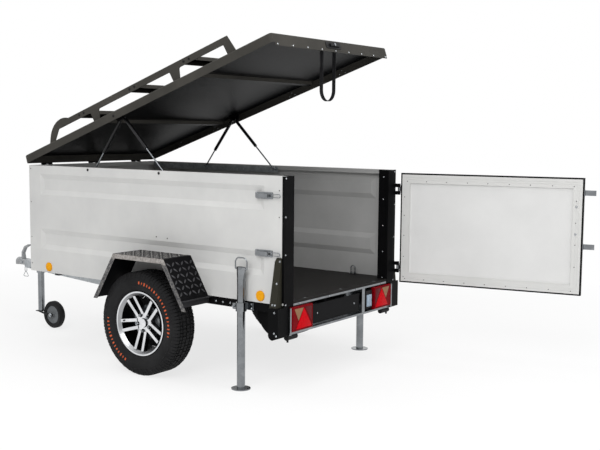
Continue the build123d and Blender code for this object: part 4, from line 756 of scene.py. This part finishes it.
CROWN_RADIUS = 0.3153
CENTRE_BLOCKS = (
    ((-0.0185, 0.0065), (-0.0015, 0.0030), (-0.0005, 0.0150), (-0.0025, 0.0270), (-0.0165, 0.0300)),
    ((0.0003, 0.0026), (0.0175, 0.0075), (0.0190, 0.0245), (0.0115, 0.0290), (-0.0007, 0.0272),
     (0.0013, 0.0150)),
    ((-0.0200, 0.0375), (-0.0060, 0.0345), (-0.0030, 0.0500), (-0.0150, 0.0525)),
    ((0.0000, 0.0345), (0.0180, 0.0370), (0.0205, 0.0490), (0.0040, 0.0525)),
)
LONG_LUG = ((0.0555, 0.3045), (0.0555, 0.3152), (0.0685, 0.3150), (0.0805, 0.3042), (0.0858, 0.2905),
            (0.0884, 0.2770), (0.0862, 0.2765), (0.0780, 0.2990))
SHORT_LUG = ((0.0555, 0.3045), (0.0555, 0.3152), (0.0670, 0.3150), (0.0790, 0.3050), (0.0842, 0.2935),
             (0.0822, 0.2930), (0.0740, 0.3020))
SIDEWALL = ((0.0637, 0.1783), (0.0637, 0.1972), (0.0690, 0.2002), (0.0745, 0.2050), (0.0768, 0.2078),
            (0.0792, 0.2092), (0.0808, 0.2118), (0.0806, 0.2135), (0.0832, 0.2195), (0.0862, 0.2290),
            (0.0882, 0.2400), (0.0892, 0.2520), (0.0888, 0.2640), (0.0879, 0.2690), (0.0888, 0.2705),
            (0.0884, 0.2735), (0.0868, 0.2750), (0.0842, 0.2870), (0.0806, 0.2965), (0.0762, 0.3040),
            (0.0660, 0.3066), (0.0300, 0.3074))
WELD = 0.00001
STUD_CIRCLE = 0.050


def wheel_places(node):
    """Each wheel's hand with the matrix that puts a piece there, turned round on the right."""
    return [(hand, Matrix.Translation(middle_of(node + hand)) @ Matrix.Rotation(turn, 4, "Z"))
            for hand, turn in (("left", 0.0), ("right", pi))]


class TRAILER_OT_tyres(bpy.types.Operator):
    """Spin the carcass and set tread blocks, shoulder lugs and sidewall dashes round it"""
    bl_idname = "trailer.tyres"
    bl_label = "Tyres"

    def execute(self, context):
        sizes = context.scene.trailer_sizes
        blocks = self.tread(sizes.tread_pitches, sizes.tread_depth)
        rubber = joined("tyre_tread_left", [self.carcass(), blocks])
        marks = self.dashes()
        for hand, place in wheel_places("tyre_"):
            tread = turned(copied(rubber, "tyre_tread_" + hand), place)
            settle(tread, "wheel_" + hand, "tyre_rubber")
            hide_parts("tyre_" + hand)
            dashes = turned(copied(marks, "tyre_dashes_" + hand), place)
            settle(dashes, "wheel_" + hand, "orange_mark")
        for pattern in (rubber, marks):
            bpy.data.objects.remove(pattern)
        return {"FINISHED"}

    def carcass(self):
        """Closed section of the carcass turned round the axle."""
        inner = [(0, -y, r) for y, r in SIDEWALL]
        outer = [(0, y, r) for y, r in reversed(SIDEWALL)]
        piece = trace("carcass", inner + outer + inner[:1])
        edit(piece)
        bpy.ops.mesh.remove_doubles(threshold=WELD)
        bpy.ops.mesh.spin(steps=92, angle=2 * pi, center=(0, 0, 0), axis=LEFT)
        bpy.ops.mesh.select_all(action="SELECT")
        bpy.ops.mesh.remove_doubles(threshold=WELD)
        bpy.ops.mesh.normals_make_consistent(inside=False)
        done()
        return piece

    def tread(self, pitches, depth):
        """One pitch of blocks and lugs, repeated round the wheel on both halves."""
        foot = CROWN_RADIUS - depth - 0.003
        pieces = []
        for outline in CENTRE_BLOCKS:
            block = cut_plate("block", [(u, y, foot) for u, y in outline], (0, 0, depth + 0.0022))
            pieces.append(stepped(block, UP, ("slope", 0.001, 0.0008)))
        for section, start, width in ((LONG_LUG, -0.0200, 0.0170), (SHORT_LUG, 0.0010, 0.0165)):
            lug = cut_plate("lug", [(start, y, r) for y, r in section], (width, 0, 0))
            pieces.append(soften(lug, 0.0011, 1))
        half = joined("half_tread", pieces)
        other = copied(half, "other_half")
        turned(other, Matrix.Rotation(pi / pitches, 4, "Y") @ Matrix.Rotation(pi, 4, "Z"))
        whole = joined("tread", [half, other])
        edit(whole)
        bpy.ops.mesh.spin(steps=pitches - 1, dupli=True, angle=2 * pi * (pitches - 1) / pitches,
                          center=(0, 0, 0), axis=LEFT)
        done()
        return whole

    def dashes(self):
        """Plain raised bars in two arcs on the outer sidewall."""
        bars = []
        for start, finish, count in ((-100.0, -3.0, 20), (88.0, 155.0, 14)):
            for step in range(count):
                size = ((0.0062, 0.0098)[step % 2], 0.0016, 0.0135 + 0.003 * (step % 3))
                bar = soften(start_box("dash", size, (0, 0.0892, 0.2515)), 0.0005, 1)
                angle = radians(start + (finish - start) * step / (count - 1))
                bars.append(turned(bar, Matrix.Rotation(angle, 4, "Y")))
        return joined("dashes", bars)


class TRAILER_OT_wheel_fittings(bpy.types.Operator):
    """Nuts in their recesses, the cap, the shield and the valve of each wheel"""
    bl_idname = "trailer.wheel_fittings"
    bl_label = "Wheel Fittings"

    def execute(self, context):
        for hand, place in wheel_places("rim_"):
            for name, make, slot, finish in (
                    ("recesses", self.recesses, "alloy", "pocket_black"),
                    ("nuts", self.nuts, "zinc", "bright_zinc"),
                    ("cap", self.cap, "alloy", "alloy"),
                    ("shield", self.shield, "black_plate", "pocket_black"),
                    ("valve", self.valve, "rubber", "rubber")):
                piece = turned(make(), place)
                settle(piece, "wheel_" + hand, finish).name = "wheel_" + name + "_" + hand
        return {"FINISHED"}

    def round_studs(self, name, pattern, y):
        """Copies of a pattern on the circle of the five studs."""
        angles = [radians(60.5 + 72 * index) for index in range(5)]
        places = [((STUD_CIRCLE * cos(angle), y, STUD_CIRCLE * sin(angle)), LEFT) for angle in angles]
        return spread(name, pattern, places)

    def recesses(self):
        cup = stepped(start_disc("cup", 0.0125, 0.003, 24), UP, ("wall", 0.0018, -0.002))
        return self.round_studs("recesses", cup, 0.0368)

    def nuts(self):
        nut = start_disc("nut", 0.0085, 0.012, 6)
        stepped(nut, UP, ("slope", 0.0014, 0.0022), ("wall", 0.0012, -0.002))
        return self.round_studs("nuts", nut, 0.0375)

    def cap(self):
        """Blank cap with a stepped ring."""
        cap = start_disc("cap", 0.0265, 0.0025, 48)
        stepped(cap, UP, ("slope", 0.0018, 0.0), ("slope", 0.0022, -0.0014), ("slope", 0.0030, 0.0),
                ("slope", 0.0016, 0.0009))
        return turned(cap, facing((0, 0.0449, 0), LEFT))

    def shield(self):
        """Dished plate on the drum's inner side."""
        plate = start_disc("shield", 0.160, 0.004, 64)
        stepped(plate, UP, ("slope", 0.005, 0.0), ("slope", 0.012, -0.0015), ("slope", 0.030, 0.0),
                ("slope", 0.008, 0.0012))
        return turned(plate, facing((0, -0.0585, 0), LEFT))

    def valve(self):
        stem = soften(start_disc("valve", 0.0052, 0.034, 16), 0.0012, 2)
        stepped(stem, UP, ("wall", 0.0012, 0.004))
        return turned(stem, facing((0.1545, 0.030, 0.0), (-0.3, 1, 0)))


# Fenders

LOZENGE = ((-1, 0), (-0.55, -0.24), (0, -0.33), (0.55, -0.24), (1, 0), (0.55, 0.24), (0, 0.33), (-0.55, 0.24))
LOZENGE_REACH = 0.46


class TRAILER_OT_fender_plate(bpy.types.Operator):
    """Raised pattern of the chequer plate on the fenders' faces"""
    bl_idname = "trailer.fender_plate"
    bl_label = "Fender Plate"

    def execute(self, context):
        pitch = context.scene.trailer_sizes.lozenge_pitch
        low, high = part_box("fenders")
        top, foot, middle = high.z, low.z, (low.x + high.x) / 2
        half_top, half_foot = 0.207, (high.x - low.x) / 2
        rear_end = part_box("rear_rails")[1].z - 0.004
        inner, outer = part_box("wall_left")[1].y, high.y
        width = outer - inner
        for hand, side in HANDS:
            y = side * (inner + outer) / 2
            slopes = []
            for way, share in ((1, 1.0), (-1, (top - rear_end) / (top - foot))):
                run = Vector((way * (half_foot - half_top), 0, foot - top))
                start = Vector((middle + way * half_top, y, top))
                normal = Vector((-run.z * way, 0, run.x * way)).normalized()
                slopes.append(self.patch(pitch, start + run * share / 2, run.normalized(), normal,
                                         run.length * share, width))
            crest = self.patch(pitch, Vector((middle, y, top)), AHEAD, UP, 2 * half_top, width)
            # The lozenges on the slopes are lighter than the plate: wear and painted highlight.
            settle(joined("fender_lozenges_" + hand, slopes), "chassis", "lozenge_wear_and_painted_highlight")
            # The lozenges on the top are lighter still: painted highlight on worn metal.
            settle(crest, "chassis", "top_lozenge_wear_and_painted_highlight").name = "fender_top_lozenges_" + hand
        return {"FINISHED"}

    def lozenge(self, pitch):
        reach = LOZENGE_REACH * pitch
        piece = cut_plate("lozenge", [(reach * x, reach * y, 0) for x, y in LOZENGE], (0, 0, 0.001))
        return stepped(piece, UP, ("slope", 0.05 * pitch, 0.001))

    def patch(self, pitch, centre, along, normal, length, width):
        """Lozenges that lie to either side in turn over one flat face."""
        columns = max(2, 2 * int((length - 0.3 * pitch) / pitch / 2))
        rows = max(1, int((width + 0.02 * pitch) / pitch))
        bars = []
        for index in range(2):
            turn = Matrix.Rotation(radians(45 - 90 * index), 4, "Z")
            bars.append(turned(self.lozenge(pitch), Matrix.Translation((index * pitch, 0, 0)) @ turn))
        pair = joined("pair", bars)
        row(pair, columns // 2, (2 * pitch, 0, 0))
        lines = [pair]
        if rows > 1:
            flip = Matrix.Translation(((columns - 1) * pitch, pitch, 0)) @ Matrix.Rotation(pi, 4, "Z")
            lines.append(turned(copied(pair, "second"), flip))
        both = joined("lines", lines)
        rows = max(1, 2 * (rows // 2))
        if rows > 2:
            row(both, rows // 2, (0, 2 * pitch, 0))
        frame = Matrix((along, normal.cross(along), normal)).transposed().to_4x4()
        shift = Matrix.Translation((-(columns - 1) * pitch / 2, -(rows - 1) * pitch / 2, -0.0002))
        return turned(both, Matrix.Translation(centre) @ frame @ shift)


# Fasteners and plates on the chassis

GUSSET_LEAN = Vector((0, 0.985, 0.1726))
GUSSET_PLATE = ((-3.033, 0.6550, 0.0675), (-2.984, 0.6550, 0.0675), (-2.988, 0.6104, 0.322),
                (-3.000, 0.6070, 0.345), (-3.033, 0.6070, 0.345))
RAIL_FACE = 0.597
POST_FACE = -3.048
LATCH_HEIGHTS = (0.363, 0.688)


class TRAILER_OT_frame_bolts(bpy.types.Operator):
    """Bolts, rivets, screws and small plates of the rear frame, the number plate and the latches"""
    bl_idname = "trailer.frame_bolts"
    bl_label = "Frame Bolts"

    def execute(self, context):
        across = context.scene.trailer_sizes.bolt_across
        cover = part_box("corner_covers")[1].y
        heads = [((x, cover, z), LEFT) for x, z in ((-3.023, 0.044), (-3.022, -0.072), (-3.036, -0.086))]
        heads += [((x, y, z), GUSSET_LEAN) for x, y, z in ((-3.023, 0.6116, 0.325), (-3.018, 0.6330, 0.203),
                                                           (-3.022, 0.6537, 0.085), (-3.004, 0.6537, 0.085))]
        heads += [((-2.815, 0.603, z), LEFT) for z in (0.060, 0.036)]
        heads += [((-2.726, 0.661, 0.048), LEFT), ((-2.726, 0.617, 0.048), RIGHT)]
        heads += [((x, RAIL_FACE, 0.050), LEFT) for x in (-2.545, -2.600, -2.655)]
        fasten("frame_bolts", hex_bolt(across, across * 0.5), mirrored(heads))
        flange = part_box("rear_posts")[1].y - 0.091
        rivets = [((-3.010, flange, z), RIGHT) for z in (0.099, 0.269, 0.438, 0.609, 0.752)]
        rivets += [((POST_FACE, y, z), BACK)
                   for y, z in ((0.592, 0.785), (0.594, 0.572), (0.594, 0.361), (0.590, 0.080))]
        fasten("post_rivets", dome_rivet(0.0052, 0.0028), mirrored(rivets))
        screws = [((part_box("number_plate")[0].x, y, -0.014), BACK) for y in (-0.138, 0.262)]
        low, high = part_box("rear_beam")
        screws += [((low.x, y, high.z - 0.006), BACK) for y in (-0.45, -0.15, 0.15, 0.45)]
        fasten("plate_screws", socket_screw(0.0055, 0.003), screws)
        self.latch_rivets()
        self.gusset_plates()
        self.beam_ends()
        return {"FINISHED"}

    def latch_rivets(self):
        """Heads in the corners of the latches' base plates."""
        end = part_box("toggle_latches")[1].x
        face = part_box("wall_left")[1].y + 0.004
        places = [((x, face, z + step), LEFT) for z in LATCH_HEIGHTS for x in (end - 0.1125, end - 0.0105)
                  for step in (-0.0135, 0.0135)]
        fasten("latch_rivets", dome_rivet(0.0034, 0.0016), places)

    def gusset_plates(self):
        """Bare plates that lie on the slanted faces of the gussets."""
        for hand, side in HANDS:
            outline = [(x, side * y, z) for x, y, z in GUSSET_PLATE]
            run = Vector((0, side * GUSSET_LEAN.y, GUSSET_LEAN.z)) * 0.002
            plate = soften(cut_plate("gusset_plate_" + hand, outline, run), 0.0006, 1)
            settle(plate, "chassis", "bare_gusset")

    def beam_ends(self):
        """Upright strips that close the rear beam beside the lamps, low enough for the closed door."""
        low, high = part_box("rear_beam")
        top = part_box("lamp_lenses")[1].z
        for hand, side in HANDS:
            strip = start_box("beam_end_" + hand, (0.0185, 0.0125, top - low.z),
                              (low.x - 0.00625, side * (high.y - 0.0068), (low.z + top) / 2))
            settle(soften(strip, 0.0012, 2), "chassis", "polished")


class TRAILER_OT_wall_rivets(bpy.types.Operator):
    """Dark rivets along the edges of the wall sheets and the heads of the strut studs"""
    bl_idname = "trailer.wall_rivets"
    bl_label = "Wall Rivets"

    def execute(self, context):
        radius = context.scene.trailer_sizes.rivet_radius
        wall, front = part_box("wall_left")[1].y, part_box("wall_front")[1].x
        edge = [((-0.903, wall, z), LEFT) for z in (0.130, 0.310, 0.550, 0.775)]
        edge += [((-3.011, wall, z), LEFT) for z in (0.570, 0.718)]
        self.rivets("wall_edge_rivets", radius * 0.8, 0.0014, edge)
        middle = [((-2.074, wall, 0.395), LEFT), ((-2.165, wall, 0.391), LEFT)]
        self.rivets("wall_rivets", radius, 0.0016, middle)
        studs = [((x, wall, 0.783), LEFT) for x in (-1.468, -2.097)]
        fasten("strut_stud_heads", socket_screw(0.0085, 0.004), mirrored(studs), "chassis",
               "black_fitting")
        nose = [((front, y, z), AHEAD) for y in (0.585, 0.290) for z in (0.110, 0.766)]
        self.rivets("front_wall_rivets", radius * 0.8, 0.0014, nose)
        return {"FINISHED"}

    def rivets(self, name, radius, height, places):
        fasten(name, dome_rivet(radius, height), mirrored(places), "chassis", "dark_rivet")


class TRAILER_OT_deck_screws(bpy.types.Operator):
    """Countersunk screws round the deck board, each in its dished washer"""
    bl_idname = "trailer.deck_screws"
    bl_label = "Deck Screws"

    def execute(self, context):
        low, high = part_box("floor_panel")
        places = [(x, y) for x in (-1.10, -1.58, -2.06, -2.538) for y in (0.569, -0.569)]
        places += [(low.x + 0.017, y) for y in (-0.38, 0.0, 0.38)]
        places += [(high.x - 0.045, y) for y in (-0.30, 0.0, 0.30)]
        washer = soften(start_disc("dished_washer", 0.0085, 0.0016, 24), 0.0007, 2)
        stepped(washer, UP, ("slope", 0.0030, -0.0007), ("wall", 0.0016, -0.0005), reach=0.002)
        fasten("deck_screws", washer, [((x, y, high.z), UP) for x, y in places])
        return {"FINISHED"}


# Door, with places given as they are when it is closed

DOOR_FACE = DOOR_HINGE.x + 0.014
RIDGE_SINK = 0.0002


class TRAILER_OT_door_trim(bpy.types.Operator):
    """Rivets and ridges of the door's inner frame, lock plugs and keeper screws"""
    bl_idname = "trailer.door_trim"
    bl_label = "Door Trim"

    def execute(self, context):
        inward, edgeward = DOOR_TURN @ AHEAD, DOOR_TURN @ LEFT
        spots = [(y, 0.726) for y in (-0.556, -0.429, -0.298, -0.163, -0.034, 0.100, 0.229, 0.361, 0.489)]
        spots += [(y, 0.091) for y in (-0.563, -0.434, -0.303, -0.169, -0.038, 0.095, 0.225, 0.357, 0.489)]
        spots += [(-0.574, z) for z in (0.104, 0.236, 0.374, 0.504, 0.624)]
        spots += [(0.505, z) for z in (0.238, 0.372, 0.505, 0.638)]
        rivets = [(on_door(DOOR_FACE, y, z), inward) for y, z in spots]
        fasten("door_rivets", dome_rivet(0.0031, 0.0015), rivets, "door", "dark_rivet")
        plugs = [(on_door(DOOR_FACE, 0.506, z), inward) for z in (0.604, 0.438)]
        fasten("door_plugs", socket_screw(0.0075, 0.0022), plugs, "door")
        self.ridges()
        keepers = [(on_door(-3.0635, 0.552, z + step), edgeward)
                   for z in LATCH_HEIGHTS for step in (-0.015, 0.015)]
        fasten("keeper_screws", dome_rivet(0.0032, 0.0015), keepers, "door")
        return {"FINISHED"}

    def ridges(self):
        """Low ridges that run round the frame and meet in mitred corners."""
        bars = []
        for inset, width, height in ((0.016, 0.0022, 0.0012), (0.030, 0.0016, 0.0009),
                                     (0.0525, 0.0030, 0.0016)):
            near, far = self.corners(inset), self.corners(inset + width)
            for index in range(4):
                after = (index + 1) % 4
                bar = cut_plate("ridge", (near[index], near[after], far[after], far[index]),
                                (height + RIDGE_SINK, 0, 0))
                bars.append(soften(bar, width * 0.25, 1))
        ring = joined("door_frame_ridges", bars)
        turned(ring, Matrix.Translation(DOOR_HINGE) @ DOOR_TURN.to_4x4() @ Matrix.Translation(-DOOR_HINGE))
        settle(ring, "door", "door_rim")

    def corners(self, inset):
        """The four corners of the door's frame, moved in from its edge."""
        right, left = -0.591 + inset, 0.539 - inset
        low, high = 0.075 + inset, 0.769 - inset
        places = ((right, low), (left, low), (left, high), (right, high))
        return [(DOOR_FACE - RIDGE_SINK, y, z) for y, z in places]


# Lid

LID_REACH, LID_HALF_WIDTH = 2.2285, 0.615
RACK_RAIL = LID_HALF_WIDTH - 0.034


class TRAILER_OT_lid_trim(bpy.types.Operator):
    """Bolts along the rear edge, rivets inside the skirt, rack bolts, lock plug and strap stitches"""
    bl_idname = "trailer.lid_trim"
    bl_label = "Lid Trim"

    def execute(self, context):
        back, up = LID_TURN @ BACK, LID_TURN @ UP
        apron = [(on_lid(LID_REACH, 0.575 - 0.14375 * step, -0.011), back) for step in range(9)]
        fasten("apron_bolts", dome_rivet(0.0052, 0.003), apron, "lid")
        skirt = [(on_lid(along + step, side * (LID_HALF_WIDTH - 0.0025), rise), LEFT * -side)
                 for along in (0.334, 0.690, 1.430, 1.866) for side in (1, -1)
                 for step, rise in ((0.0, 0.036), (-0.024, 0.016), (0.022, 0.016))]
        fasten("skirt_rivets", dome_rivet(0.0042, 0.002), skirt, "lid")
        outer = [(on_lid(0.919, side * LID_HALF_WIDTH, 0.025), LEFT * side) for side in (1, -1)]
        rack = [(on_lid(along + step, side * RACK_RAIL, 0.145), LEFT * side)
                for along in (0.611, 1.098, 1.575) for step in (-0.022, 0.022) for side in (1, -1)]
        feet = [(on_lid(along, side * (RACK_RAIL - 0.021), 0.058), up)
                for along in (0.273, 0.734, 1.466, 1.9145) for side in (1, -1)]
        for name, pattern, places in (("skirt_bolts", socket_screw(0.008, 0.0035), outer),
                                      ("rack_bolts", socket_screw(0.0075, 0.0035), rack),
                                      ("rack_foot_bolts", hex_bolt(0.013, 0.006), feet)):
            fasten(name, pattern, places, "lid", "black_fitting")
        plug = turned(self.lock_plug(), facing(on_lid(LID_REACH + 0.014, 0.015, 0.022), back))
        settle(plug, "lid", "bolt_zinc").name = "lid_lock_plug"
        self.stitches()
        return {"FINISHED"}

    def lock_plug(self):
        """Turned barrel with a keyway."""
        barrel = start_disc("plug", 0.0085, 0.004, 32)
        stepped(barrel, UP, ("wall", 0.0014, -0.001), ("wall", 0.0012, 0.0016))
        keyway = soften(start_box("keyway", (0.0016, 0.0075, 0.0012), (0, 0, 0.0048)), 0.0003, 1)
        return joined("plug", [barrel, keyway])

    def stitches(self):
        """Rows of thread where the two ends of the strap are sewn."""
        low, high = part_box("pull_strap")
        middle = (low.x + high.x) / 2
        marks = []
        for y in (low.y, high.y):
            for line in (-0.0085, 0.0085):
                for step in range(14):
                    place = (middle + line, y, high.z - 0.030 - 0.0055 * step)
                    marks.append(soften(start_box("stitch", (0.0012, 0.0008, 0.0036), place), 0.0003, 1))
        settle(joined("strap_stitches", marks), "lid", "thread")


# Tail lamps, plate and reflectors

LAMP_INNER_EDGE = 0.341
LAMP_FIELDS = (
    ("triangle", ((-0.090, -0.068), (0.062, -0.069), (-0.014, 0.046)), "lens_triangle"),
    ("outer", ((-0.009, 0.048), (0.078, 0.048), (0.039, -0.022)), "lens_tan"),
    ("inner", ((-0.026, 0.048), (-0.090, 0.048), (-0.090, -0.045)), "lens_pale"),
)
REVERSING_FACE, REVERSING_Y = -3.047, -0.299


class TRAILER_OT_tail_lamps(bpy.types.Operator):
    """Fields of the tail lamps, the reversing lamp, the plate's edge and the reflectors' facets"""
    bl_idname = "trailer.tail_lamps"
    bl_label = "Tail Lamps"

    def execute(self, context):
        low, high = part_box("lamp_lenses")
        middle = (high.y + LAMP_INNER_EDGE) / 2
        for hand, side in HANDS:
            for name, points, finish in LAMP_FIELDS:
                outline = [(low.x + 0.0006, side * (middle + y), z) for y, z in points]
                field = soften(cut_plate("field", outline, BACK * 0.0018), 0.0006, 2)
                settle(field, "chassis", finish).name = "lamp_" + name + "_" + hand
            rim = self.ring("rim", (low.x, side * middle, -0.011), 0.1965, 0.1315, 0.0050, 0.0022)
            settle(rim, "chassis", "lens_red").name = "lamp_rim_" + hand
        self.reversing_lamp()
        self.plate_edge()
        self.reflector_facets()
        return {"FINISHED"}

    def ring(self, name, place, width, height, border, rise):
        """A rounded border that stands on a face towards the rear."""
        piece = start_box(name, (2 * rise, width, height), place)
        return soften(stepped(piece, BACK, ("wall", border, -1.2 * rise)), rise * 0.4, 2)

    def reversing_lamp(self):
        """Black box with a clear lens between the right lamp and the divider."""
        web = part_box("lamp_housings")[1].x
        body = start_box("reversing_lamp_body", (web - REVERSING_FACE, 0.070, 0.112),
                         ((web + REVERSING_FACE) / 2, REVERSING_Y, -0.010))
        stepped(body, BACK, ("wall", 0.007, -0.004))
        settle(soften(body, 0.002, 2), "chassis", "lamp_moulding")
        lens = start_box("reversing_lamp_lens", (0.010, 0.052, 0.074),
                         (REVERSING_FACE + 0.0015, REVERSING_Y, -0.018))
        stepped(lens, BACK, ("slope", 0.005, 0.003))
        settle(soften(lens, 0.0012, 2), "chassis", "lens_clear")

    def plate_edge(self):
        """Raised edge round the blank plate."""
        low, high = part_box("number_plate")
        centre, size = (low + high) / 2, high - low
        edge = self.ring("number_plate_edge", (low.x, centre.y, centre.z), size.y - 0.004, size.z - 0.004,
                         0.0035, 0.0012)
        settle(edge, "chassis", "plate_blank")

    def reflector_facets(self):
        """Faceted cone with a sunk middle on each round side reflector."""
        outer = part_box("side_reflectors")[1].y - 0.0004
        cone = start_disc("cone", 0.0262, 0.0008, 16)
        stepped(cone, UP, ("slope", 0.0030, 0.0), ("slope", 0.0095, 0.0016), ("slope", 0.0045, -0.0010),
                ("slope", 0.0030, 0.0012))
        places = mirrored([((x, outer, 0.117), LEFT) for x in (-1.075, -2.881)])
        fasten("reflector_facets", cone, places, "chassis", "lens_amber", 8)


# Nose

GRIP_RIB = 0.008


class TRAILER_OT_nose(bpy.types.Operator):
    """Grip of the jockey wheel's crank, its axle nuts and the bolts of the coupling"""
    bl_idname = "trailer.nose"
    bl_label = "Nose"

    def execute(self, context):
        low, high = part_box("jockey_tube")
        place = (high.x - 0.012, (low.y + high.y) / 2, high.z - 0.0515)
        grip = turned(self.grip(), Matrix.Translation(place))
        settle(grip, "jockey_tube", "rubber").name = "jockey_grip"
        low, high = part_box("jockey_fork")
        axle = middle_of("jockey_wheel")
        ends = [((axle.x, y, axle.z), out) for y, out in ((low.y, RIGHT), (high.y, LEFT))]
        fasten("jockey_axle_nuts", hex_bolt(0.019, 0.008), ends, "jockey_fork")
        bolts = mirrored([((x, 0.030, 0.0), LEFT) for x in (-0.060, -0.115)])
        fasten("coupling_bolts", hex_bolt(0.017, 0.008), bolts)
        return {"FINISHED"}

    def grip(self):
        """Ribbed sleeve with a domed end."""
        sleeve = start_disc("grip", 0.0128, 0.046, 32)
        for level in range(5):
            edit(sleeve)
            bpy.ops.mesh.bisect(plane_co=(0, 0, 0.006 + GRIP_RIB * level), plane_no=UP)
            done()
        for level in range(0, 4, 2):
            middle = 0.010 + GRIP_RIB * level
            edit_faces(sleeve, lambda centre, normal: abs(centre.z - middle) < 0.002 and abs(normal.z) < 0.5)
            bpy.ops.mesh.extrude_region_shrink_fatten(TRANSFORM_OT_shrink_fatten={"value": -0.0012})
            done()
        edit_faces(sleeve, lambda centre, normal: normal.z > 0.9 and centre.z > 0.04)
        bpy.ops.mesh.inset(thickness=0.004)
        bpy.ops.transform.translate(value=(0, 0, 0.005))
        done()
        return sleeve


# Stage

class TRAILER_OT_stage(bpy.types.Operator):
    """Set the white floor, the soft lights and the camera"""
    bl_idname = "trailer.stage"
    bl_label = "Stage"

    def execute(self, context):
        scene = context.scene
        scene.view_settings.view_transform = "Standard"
        self.floor()
        self.world(scene)
        self.lights()
        self.camera(scene)
        return {"FINISHED"}

    def floor(self):
        """Pale floor that keeps a soft shadow near the object and glows white further out."""
        deselect()
        bpy.ops.mesh.primitive_plane_add(size=60, location=(-2, 0, CAD_BOX[0][2] - 0.0005))
        floor = started("floor")
        edit(floor)
        bpy.ops.mesh.subdivide(number_cuts=4)
        done()
        material = bpy.data.materials.new("floor_white")
        material.use_nodes = True
        tree = material.node_tree
        shader = tree.nodes["Principled BSDF"]
        shader.inputs["Roughness"].default_value = 0.9
        shader.inputs["Base Color"].default_value = (0.86, 0.86, 0.86, 1)
        glow = add(tree, "ShaderNodeEmission", None, Strength=1.0)
        path = add(tree, "ShaderNodeLightPath").outputs
        seen = sums(tree, "MAXIMUM", path["Is Camera Ray"], path["Is Glossy Ray"])
        far = fade(tree, vectors(tree, "LENGTH", object_place(tree)), 2.4, 4.6, 0.76, 1.0)
        both = add(tree, "ShaderNodeMixShader", None, Fac=sums(tree, "MULTIPLY", seen, far))
        tree.links.new(shader.outputs[0], both.inputs[1])
        tree.links.new(glow.outputs[0], both.inputs[2])
        tree.links.new(both.outputs[0], tree.nodes["Material Output"].inputs["Surface"])
        floor.data.materials.append(material)

    def world(self, scene):
        """White where the camera, metal and glass look, and a plain soft light elsewhere."""
        world = bpy.data.worlds.new("studio")
        world.use_nodes = True
        tree = world.node_tree
        path = add(tree, "ShaderNodeLightPath").outputs
        seen = sums(tree, "MAXIMUM", path["Is Camera Ray"], path["Is Transmission Ray"])
        seen = sums(tree, "MAXIMUM", seen, path["Is Glossy Ray"])
        background = tree.nodes["Background"]
        background.inputs["Color"].default_value = (1, 1, 1, 1)
        fill(tree, background.inputs["Strength"], fade(tree, seen, 0, 1, 0.45, 1.0))
        scene.world = world

    def lights(self):
        for name, place, aim, size, power in (
                ("key", (-4.5, 6.0, 5.0), (-2.2, 0.4, 0.3), 4.0, 285),
                ("rear", (-8.0, -1.0, 4.5), (-2.8, -0.2, 0.4), 4.0, 185),
                ("top", (-1.5, 0.5, 6.5), (-2.2, 0.0, 0.6), 5.0, 165)):
            bpy.ops.object.light_add(type="AREA", location=place)
            lamp = started(name)
            lamp.data.size = size
            lamp.data.energy = power
            lamp.rotation_euler = (Vector(aim) - Vector(place)).to_track_quat("-Z", "Y").to_euler()

    def camera(self, scene):
        """Camera at the photograph's place: heading, pitch and roll from the box's edges."""
        heading, pitch, roll = radians(53.91), radians(5.84), radians(0.44)
        ahead = Vector((cos(heading) * cos(pitch), -sin(heading) * cos(pitch), -sin(pitch)))
        right = ahead.cross(UP).normalized()
        up = right.cross(ahead)
        side = right * cos(roll) + up * sin(roll)
        above = up * cos(roll) - right * sin(roll)
        bpy.ops.object.camera_add(location=(-6.194, 4.856, 1.066))
        camera = bpy.context.object
        camera.rotation_euler = Matrix((side, above, -ahead)).transposed().to_euler()
        camera.data.lens = 57.94
        camera.data.sensor_width = 36
        camera.data.shift_x = 0.0143
        camera.data.shift_y = 0.0018
        scene.camera = camera


# Panel and running

STEPS = (TRAILER_OT_finishes, TRAILER_OT_tyres, TRAILER_OT_wheel_fittings, TRAILER_OT_fender_plate,
         TRAILER_OT_frame_bolts, TRAILER_OT_wall_rivets, TRAILER_OT_deck_screws, TRAILER_OT_door_trim,
         TRAILER_OT_lid_trim, TRAILER_OT_tail_lamps, TRAILER_OT_nose, TRAILER_OT_stage)


class TRAILER_PT_looks(bpy.types.Panel):
    """Settings and steps in the sidebar"""
    bl_idname = "TRAILER_PT_looks"
    bl_label = "Box Trailer"
    bl_space_type = "VIEW_3D"
    bl_region_type = "UI"
    bl_category = "Trailer"

    def draw(self, context):
        for settings in (context.scene.trailer_sizes, context.scene.trailer_colours):
            for key in settings.__annotations__:
                self.layout.prop(settings, key)
        for step in STEPS:
            self.layout.operator(step.bl_idname)


CLASSES = (TrailerColours, TrailerSizes, *STEPS, TRAILER_PT_looks)


def register():
    for item in CLASSES:
        bpy.utils.register_class(item)
    bpy.types.Scene.trailer_colours = bpy.props.PointerProperty(type=TrailerColours)
    bpy.types.Scene.trailer_sizes = bpy.props.PointerProperty(type=TrailerSizes)


def unregister():
    del bpy.types.Scene.trailer_sizes
    del bpy.types.Scene.trailer_colours
    for item in reversed(CLASSES):
        bpy.utils.unregister_class(item)


def main():
    register()
    for step in STEPS:
        group, name = step.bl_idname.split(".")
        getattr(getattr(bpy.ops, group), name)()


if __name__ == "__main__":
    main()
